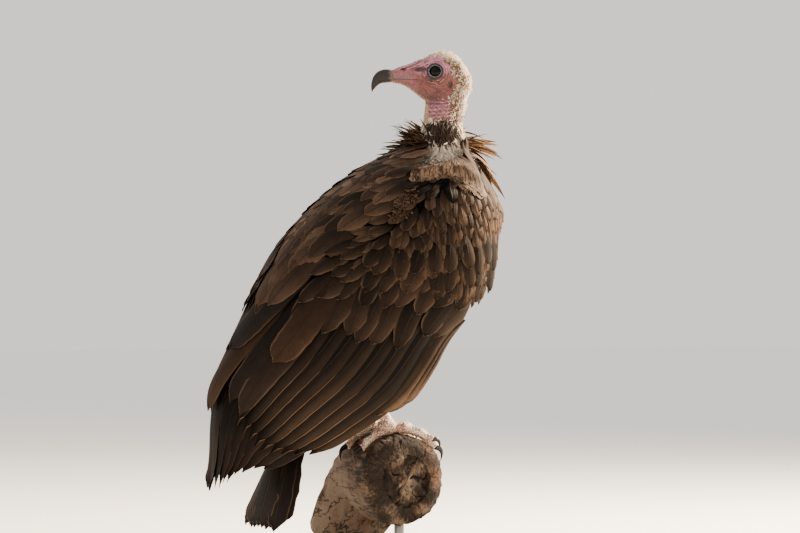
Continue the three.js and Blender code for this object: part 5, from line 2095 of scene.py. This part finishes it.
@dataclass
class Neck:
    """What grows on the head and neck: short wool, white down, dark hair and the ruff."""

    skin: Piece
    form: Skin = field(default_factory=Skin)

    @staticmethod
    def bake_place(root: np.ndarray, axis_y: float, low: float, span: float) -> np.ndarray:
        """Gives places on an unwrap round the neck, from a height and over a span of it."""
        bearing = np.arctan2(root[:, 1] - axis_y, root[:, 0])
        return np.stack([bearing / TURN + 0.5, (root[:, 2] - low) / span], -1).clip(0.01, 0.99)

    @staticmethod
    def lie(down: Down, out: np.ndarray, flow: np.ndarray, swirl: Numbers, rng: np.random.Generator) -> np.ndarray:
        """Gives the way in which each tuft lies.

        Args:
            down: The coat of tufts.
            out: Which way the skin faces.
            flow: Which way the coat runs over it.
            swirl: What is added to turn tufts together.
            rng: The source of small differences.

        Returns:
            One direction for each tuft.
        """
        flow = flow - (flow * out).sum(-1, keepdims=True) * out
        count = len(out)
        return unit(flow) + out * rng.uniform(*down.steep, (count, 1)) + swirl + rng.normal(0, down.stray, (count, 3))

    @staticmethod
    def dye(down: Down, count: int, rng: np.random.Generator) -> np.ndarray:
        """Gives each tuft its colour."""
        return dyed(down.low, down.high, rng.uniform(0, 1, count) ** down.favour, rng, down.vary)

    def tufts(
        self, down: Down, root: np.ndarray, out: np.ndarray, lie: np.ndarray, shade: np.ndarray,
        rng: np.random.Generator, short: Numbers = 1.0,
    ) -> Piece:
        """Makes one piece of tufts standing on the skin.

        Args:
            down: The coat of tufts.
            root: Where each one grows.
            out: Which way the skin faces there.
            lie: Which way each one lies.
            shade: Their colours.
            rng: The source of their sizes.
            short: What their lengths are multiplied by.

        Returns:
            The finished tufts.
        """
        count = len(root)
        length, width = rng.uniform(*down.length, count) * short, rng.uniform(*down.width, count)
        cut = VaneCut(VaneShape.SPIKE, rows=down.rows, columns=2, camber=down.camber, thick=0.4, ragged=0)
        rng = np.random.default_rng(down.seed)
        bend, sway = length * rng.normal(-down.bend, down.bend * 0.6, count), length * rng.normal(0, down.sway, count)
        grid = free_grid(root - out * down.sink, lie, out, length, width, bend, sway, cut)
        notes = {
            "shade": shade, "span": length, "breadth": width,
            "seed": rng.uniform(0, 1, count), "wear_and_light": np.full(count, 0.3),
        }
        bake = self.bake_place(root - out * down.sink, -60, 470, 190)
        return Bench.hand_over(vane_mesh(down.name, grid, out, cut, bake, notes), "down", down.finish)

    def wool(self) -> None:
        """Makes the short curly wool of the crown, nape and hind neck."""
        rng = np.random.default_rng(241)
        points, facing = Bench.points(self.skin), Bench.normals(self.skin)
        place = head_place(points)
        downy = (1 - self.form.bare_share(place)) * (place[:, 2] > -58) * (place[:, 0] < 42)
        downy *= 1 - ease(place[:, 0], 12, 26) * ease(place[:, 2], -24, -34)
        lid_points = 2 * self.form.lid_sides * len(self.form.lid_section)
        downy *= np.arange(len(points)) < len(points) - lid_points
        near = self.form.near_face(place)
        chosen = np.flatnonzero(rng.uniform(0, 1, len(points)) < downy)
        again = chosen[rng.uniform(0, 1, len(chosen)) < 0.45 + 0.5 * near[chosen]]
        chosen = np.concatenate([chosen, again, again[near[again] > 0.2]])
        root, out, place, inner = points[chosen], facing[chosen], place[chosen], near[chosen]
        root = root + rng.normal(0, 0.6, (len(chosen), 3))
        flow = -UPWARDS - HEAD_FORWARD * ease(place[:, 2], 0, 20)[:, None] * 1.6
        swirl = np.stack([Ripple(seed, 6)(root) for seed in (71, 72, 73)], -1)
        lie = self.lie(WOOL, out, flow, swirl * 0.55, rng)
        short = 1 - 0.45 * ease(place[:, 0], -2, 12) * ease(place[:, 2], 12, 18)
        shade = self.dye(WOOL, len(chosen), rng)
        # Painted shade: dark specks in the gaps between the curls, more of them beside the bare face. There the wool is
        # also browner, partly its own colour and partly painted shade.
        speck = ease(Ripple(74, 2.4, 48)(root), 0.0, 0.7) * (0.25 + 0.75 * inner)
        shade = blend(shade, tint(82, 58, 40), np.maximum(0.5 * inner, 0.94 * speck)[:, None])
        self.tufts(WOOL, root, out, lie, shade, rng, short)

    def collar(self) -> None:
        """Makes the white down and the dark hair round the root of the neck."""
        rng = np.random.default_rng(251)
        points, facing = Bench.points(self.skin), Bench.normals(self.skin)
        high = head_place(points)[:, 2]
        rear = math.radians(155)  # the bearing of the dark patch's middle, on the hind neck
        swing = np.abs(turned_from(np.arctan2(points[:, 1] - self.form.neck_y, points[:, 0]), rear))
        dark = ease(np.hypot(swing / 1.05, (high + 64.5) / 14), 1.12, 0.68)
        ring = ease(high, -112, -106) * ease(high, -52, -60) * self.form.round_neck(points)
        for down, share, shadow in ((COLLAR_DOWN, ring * (1 - dark) * 0.96, 0.5), (COLLAR_HAIR, dark * 0.92, 0.0)):
            chosen = np.flatnonzero(rng.uniform(0, 1, len(points)) < share)
            root, out = points[chosen], facing[chosen]
            lie = self.lie(down, out, -UPWARDS, 0.0, rng)
            shade = self.dye(down, len(chosen), rng) * (1 - shadow * ease(high[chosen], -84, -106))[:, None]
            self.tufts(down, root, out, lie, shade, rng)

    def ruff(self) -> None:
        """Makes the ruff of pointed feathers in rings, open behind the right shoulder and thinner behind."""
        rng = np.random.default_rng(261)
        rings = (
            # height, radius, length, width, rise behind, rise in front, count
            (546, 25, 28, 3.0, 42, 12, 84), (536, 26, 32, 4.5, 12, -8, 90), (540, 28, 35, 4.0, 26, 0, 100),
            (533, 25, 32, 10.0, 24, -12, 90), (528, 27, 34, 10.0, 8, -20, 90), (533, 32, 40, 4.8, 8, -14, 120),
            (526, 36, 46, 6.5, -8, -30, 110), (518, 41, 48, 7.5, -22, -46, 80),
        )
        axis_y = -57.0
        right, left, rear = np.radians([158, 22, 70])  # bearings
        parts = []
        for height, radius, length, width, behind, before, count in rings:
            bearing = np.arange(count) * TURN / count + rng.uniform(-0.07, 0.07, count)
            from_left = np.abs(turned_from(bearing, left))
            from_right = np.abs(turned_from(bearing, right))
            from_right = np.where((bearing - right) % TURN > math.pi, from_right * 1.45, from_right)
            back = (np.cos(bearing - rear) + 1) / 2
            keep = (from_left > 0.6) | (rng.uniform(0, 1, count) < 0.7)
            keep &= (back > 0.35) | (rng.uniform(0, 1, count) < 0.36)
            keep &= (back < 0.55) | (rng.uniform(0, 1, count) < 0.85)
            keep &= ((back > 0.5) | (width < 9)) & (from_right > 1.12)
            bearing, back = bearing[keep], back[keep]
            count = len(bearing)
            level = np.zeros(count)
            out = np.stack([np.cos(bearing), np.sin(bearing), level], -1)
            across = np.stack([-out[:, 1], out[:, 0], level], -1)
            slope = np.radians(blend(before, behind, back) + 8 * ease(back, 0.45, 0.2) + rng.normal(0, 9, count))
            swirl = across * rng.normal(0, 0.16, (count, 1))
            root = out * radius + np.array([0.0, axis_y, 0.0])
            root[:, 2] = height + rng.normal(0, 2.5, count)
            lie = (out + swirl) * np.cos(slope)[:, None] + UPWARDS * np.sin(slope)[:, None]
            twist = rng.normal(0, 0.9, (count, 1)) * (0.7 + 0.3 * ease(back, 0.9, 0.4))[:, None]
            size = length * rng.uniform(0.78, 1.12, count)
            front = 1 - back
            share = 0.9 * front**1.6 * rng.uniform(0.45, 1.1, count) + rng.uniform(-0.1, 0.15, count)
            shade = dyed(tint(24, 17, 13), tint(160, 122, 88), share, rng)
            broad = 1 + 0.35 * ease(front, 0.55, 0.8)
            bend = size * (rng.normal(-0.14, 0.08, count) - 0.30 * ease(front, 0.55, 0.8))
            breadth = width * broad * rng.uniform(0.85, 1.1, count)
            face = UPWARDS + out * 0.5 + across * twist
            parts.append((root, lie, face, size * (0.9 + 0.1 * broad), breadth, bend, shade))
        root, lie, face, size, width, bend, shade = (np.concatenate(column) for column in zip(*parts))
        count = len(root)
        cut = VaneCut(VaneShape.LANCE, rows=9, columns=4, camber=1.0, thick=0.4, ragged=0.1)
        grid = free_grid(root, lie, face, size, width, bend, size * rng.normal(0, 0.06, count), cut)
        notes = {
            "shade": shade, "span": size, "breadth": width,
            "seed": rng.uniform(0, 1, count), "wear_and_light": np.full(count, 0.8), "lap": np.zeros(count),
        }
        piece = vane_mesh("ruff_feathers", grid, face, cut, self.bake_place(root, axis_y, 510, 50), notes)
        finish = VaneFinish("Ruff feathers", fringe=tint(150, 116, 84), fringe_width=0.8, streaks=0.7, depth=0.9)
        Bench.hand_over(piece, "coat", finish, "ruff")

    def build(self) -> None:
        """Builds all that grows on the head and neck."""
        self.wool()
        self.collar()
        self.ruff()


# ---------------------------------------------------------------- perch, stand and studio
@dataclass
class Perch:
    """The cut length of limb, bent down at its far end."""

    radius: float = 55.0
    end_radius: float = 45.0
    height: float = 135.0
    near_x: float = -70.0
    bend_x: float = 48.0
    far_x: float = 118.0
    drop: float = 68.0
    rings: int = 150
    sides: int = 220
    run: float = 230.0  # of the bark's pattern, from end to end
    face_rings: int = 22
    splits: tuple[tuple[float, float, float], ...] = (
        # bearing, width and inner end of each split in the cut faces
        (0.6, 1.5, 0.1), (1.9, 1.0, 0.45), (2.9, 1.8, 0.0), (4.1, 1.1, 0.3), (5.3, 1.3, 0.2),
    )

    @staticmethod
    def axis_y(x: Numbers) -> Numbers:
        """Gives how far back the limb's axis lies at a place across the bird."""
        return 19.0 - 0.16 * (x + 38.0)

    def bark(self) -> tuple[np.ndarray, np.ndarray, np.ndarray]:
        """Makes the limb's side with its swellings, cracks and furrows.

        Returns:
            The rings, their middles and how cracked each point is.
        """
        table = (
            (self.near_x, 0, 0, 0.60), (self.near_x + 4, 0, 0, 0.86), (self.near_x + 18, 0, 0, 1), (0, 0, 0, 1),
            (self.bend_x, 0, 0, 1), (self.bend_x + 34, 8, 22, 0.95),
            (self.far_x, 26, self.drop, self.end_radius / self.radius),
        )
        path = [
            (x, self.axis_y(x) + back, self.height - drop, *(3 * [self.radius * share - 0.6]))
            for x, back, drop, share in table
        ]
        rings = sweep(path, np.array([0.0, 1.0, 0.0]), self.rings, self.sides)
        centre = rings.mean(1, keepdims=True)
        length = np.linspace(0, 1, len(rings))[:, None] * self.run + 0 * rings[..., 0]
        offset = rings - centre
        spun = np.stack([length * 0.10, offset[..., 1], offset[..., 2]], -1)
        split = hill(Ripple(32, 11, 40)(spun), 0, 0.16)
        near = ease(length, 60, 10)
        furrow = Ripple(33, 5, 40)(spun * np.array([2.5, 1.0, 1.0]))
        depth = -1.0 + 1.3 * Ripple(31, 60)(spun) - split * blend(0.8, 3.2, near) + 0.5 * furrow
        return rings + unit(offset) * np.minimum(depth, 1.2)[..., None], centre, split * near

    def cut_end(self, hub: np.ndarray, ring: np.ndarray, sign: int) -> tuple[np.ndarray, np.ndarray]:
        """Makes the rough, split face of one end.

        Args:
            hub: The middle of the last ring.
            ring: The last ring.
            sign: -1 for the near end, 1 for the far end.

        Returns:
            Rings from the edge inwards and how cracked each point is.
        """
        quarter = ring[50]  # nearly a quarter of the way round
        normal = unit(np.cross(ring[0] - hub, quarter - hub))
        normal = normal * np.sign(normal @ SIDEWAYS) * sign
        layers, gaps = [], []
        for share in np.linspace(0.94, 0.04, self.face_rings):
            flat = hub + (ring - hub) * share
            gap = np.zeros(len(ring))
            for start, width, inner in self.splits:
                away = turned_from(circle(len(ring)), start + 0.22 * math.sin(share * 7 + start))
                gap = np.maximum(gap, hill(away * share * 50, 0, width) * float(ease(share, inner, inner + 0.25)))
            rough = Ripple(34, 8)(flat) * 1.5 + Ripple(37, 22)(flat) * 1.6
            step = 4.0 * (1 - share**2) + rough - 3.4 * gap - 2.4
            layers.append(flat + normal * step[:, None] * (1.0 if sign < 0 else 0.6))
            gaps.append(gap)
        return np.array(layers), np.array(gaps)

    def build(self) -> Piece:
        """Builds the limb with its grain, cracks and broken end, and dresses it.

        Returns:
            The finished limb.
        """
        rings, centre, marks = self.bark()
        near, near_gaps = self.cut_end(centre[0, 0], rings[0], -1)
        far, far_gaps = self.cut_end(centre[-1, 0], rings[-1], 1)
        piece = Bench.loft("limb", np.concatenate([near[::-1], rings, far]))
        points = Bench.points(piece)
        marks = np.concatenate([near_gaps[::-1], marks, far_gaps]).reshape(-1)
        sides = self.sides  # the loft adds one small ring at each end
        Bench.note(piece, "cracked", np.pad(marks, (sides, len(points) - len(marks) - sides)))
        axis = np.stack([points[:, 0], self.axis_y(points[:, 0]), np.full(len(points), self.height)], -1)
        radial = points - axis
        reach = np.linalg.norm(radial[:, 1:], axis=1)
        seam = np.abs(np.arctan2(radial[:, 2], radial[:, 1])) * 40.0
        grain = np.stack([points[:, 0] - self.near_x, seam, reach], -1)
        flat = np.stack([reach * 3.0, radial[:, 1] * 0.9, radial[:, 2] * 0.9], -1)
        first, last = (len(near) + 1) * sides, len(points) - (len(far) + 1) * sides
        grain[:first], grain[last:] = flat[:first], flat[last:]
        Bench.note(piece, "grain", grain)
        charred = ease(points[:, 0], self.near_x + 60, self.near_x + 4) * 0.68 + 0.18 * Ripple(36, 20)(points)
        Bench.note(piece, "charred", charred.clip(0, 1))
        return Bench.hand_over(piece, "limb", WoodFinish(), "perch")


@dataclass
class Stand:
    """The round display plate and the rods that hold the limb."""

    radius: float = 150.0
    thickness: float = 18.0
    edge: float = 3.0
    crease: float = 35.0  # degrees
    gap: float = 0.3  # between the plate and the rods' collars
    collar_radius: float = 9.5
    rod_radius: float = 6.0
    rod_sides: int = 48

    def plate(self) -> Piece:
        """Turns the plate with its rounded rim, and dresses it.

        Returns:
            The finished plate.
        """
        Bench.pick()
        bpy.ops.mesh.primitive_cylinder_add(
            vertices=160, radius=self.radius * MM, depth=self.thickness * MM, location=(0, 0, self.thickness / 2 * MM),
        )
        plate = Bench.made("display_plate")
        Bench.modify(
            plate, "BEVEL", width=self.edge * MM, segments=5, limit_method="ANGLE", angle_limit=math.radians(60),
        )
        Bench.crease(plate, self.crease)
        finish = PlainFinish("Dark painted plate", tint(44, 43, 42), 0.42, 0.0, 900.0, 0.04)
        return Bench.hand_over(plate, "stand", finish, "stand_base")

    def rod(self, label: str, x: float, y: float, top: float) -> Piece:
        """Turns one rod with its collar, and dresses it.

        Args:
            label: The rod's side.
            x: Its place across the bird.
            y: Its place from front to back.
            top: How high it reaches into the limb.

        Returns:
            The finished rod.
        """
        low = self.thickness + self.gap
        stations = (
            (low, self.collar_radius), (low + 3.2, self.collar_radius), (low + 4.4, self.collar_radius - 0.9),
            (low + 4.8, self.rod_radius), (top - 1, self.rod_radius), (top, self.rod_radius - 0.4),
        )
        angle = circle(self.rod_sides)
        rings = [np.stack([x + r * np.cos(angle), y + r * np.sin(angle), 0 * angle + z], -1) for z, r in stations]
        rod = Bench.loft(f"steel_rod_{label}", np.array(rings))
        Bench.crease(rod, self.crease)
        finish = PlainFinish("Brushed steel", tint(150, 148, 144), 0.34, 1.0, 500.0, 0.02)
        return Bench.hand_over(rod, "rods", finish, f"stand_rod_{label}")

    def build(self) -> None:
        """Builds the plate and both rods."""
        self.plate()
        self.rod("right", -38.0, 19.0, 84.0)
        self.rod("left", 92.0, Perch.axis_y(92.0) + 13.0, 60.0)


@dataclass
class Studio:
    """A plain pale floor, soft lights and the camera."""

    azimuth: float = 245.0
    distance: float = 6.0
    aim_height: float = 388.2
    lens: float = 225.0
    floor_half: float = 16.0

    def floor(self) -> None:
        """Lays the floor."""
        Bench.pick()
        bpy.ops.mesh.primitive_plane_add(size=2 * self.floor_half)
        floor = bpy.context.active_object
        floor.name = "studio_floor"
        bpy.ops.object.mode_set(mode="EDIT")
        bpy.ops.mesh.subdivide(number_cuts=8)
        bpy.ops.object.mode_set(mode="OBJECT")
        floor.data.materials.append(PlainFinish("Pale floor", tint(253, 251, 248), 0.95, 0.0, 40.0, 0.0).make())

    def lamp(self, name: str, side: float, away: float, up: float, size: float, power: float, colour: Colour) -> None:
        """Hangs one soft lamp that looks at the bird.

        Args:
            name: The lamp's name.
            side: Metres to the camera's right of the bird.
            away: Metres beyond the bird, as the camera looks.
            up: Metres above the floor.
            size: Width of its square face in metres.
            power: Its power in watts.
            colour: Its colour.
        """
        turn = math.radians(self.azimuth)
        right = np.array([math.cos(turn), math.sin(turn), 0.0])
        ahead = np.array([-math.sin(turn), math.cos(turn), 0.0])
        place = right * side + ahead * away + UPWARDS * up
        data = bpy.data.lights.new(name, "AREA")
        data.shape = "SQUARE"
        data.size = size
        data.energy = power
        data.color = colour
        lamp = bpy.data.objects.new(name, data)
        bpy.context.scene.collection.objects.link(lamp)
        lamp.location = place
        aim = np.array([0.0, 0.0, 0.4]) - place
        lamp.rotation_mode = "QUATERNION"
        lamp.rotation_quaternion = Vector(aim).to_track_quat("-Z", "Y")

    def camera(self) -> None:
        """Sets the camera up."""
        turn = math.radians(self.azimuth)
        data = bpy.data.cameras.new("camera")
        data.lens = self.lens
        data.sensor_width = 36.0
        data.clip_end = 60.0
        camera = bpy.data.objects.new("camera", data)
        bpy.context.scene.collection.objects.link(camera)
        camera.location = (math.sin(turn) * self.distance, -math.cos(turn) * self.distance, self.aim_height * MM)
        camera.rotation_euler = (math.radians(90), 0, turn)
        bpy.context.scene.camera = camera

    def build(self) -> None:
        """Builds the studio."""
        world = bpy.data.worlds.new("Studio air")
        world.use_nodes = True
        air = world.node_tree.nodes["Background"]
        air.inputs["Color"].default_value = (*tint(232, 228, 222), 1)
        air.inputs["Strength"].default_value = 1.4
        bpy.context.scene.world = world
        self.floor()
        self.lamp("key", 2.3, 1.35, 1.9, 0.7, 800, (1.0, 0.79, 0.56))
        self.lamp("fill", -1.4, -2.6, 2.0, 1.6, 12, (1.0, 0.95, 0.90))
        self.camera()


def main() -> None:
    """Builds the bird, its perch, its stand and the studio."""
    logging.basicConfig(level=logging.INFO, format="%(name)s: %(message)s")
    Studio().build()
    skin = Skin().build()
    for label, sign in (("left", 1), ("right", -1)):
        Eye(label, sign).build()
        Foot(label, sign).build()
        Thigh(label, sign).build()
        Wing(label, -sign).build()
    Bill().build()
    Back().build()
    Breast().build()
    Tail().build()
    Neck(skin).build()
    Perch().build()
    Stand().build()


if __name__ == "__main__":
    main()
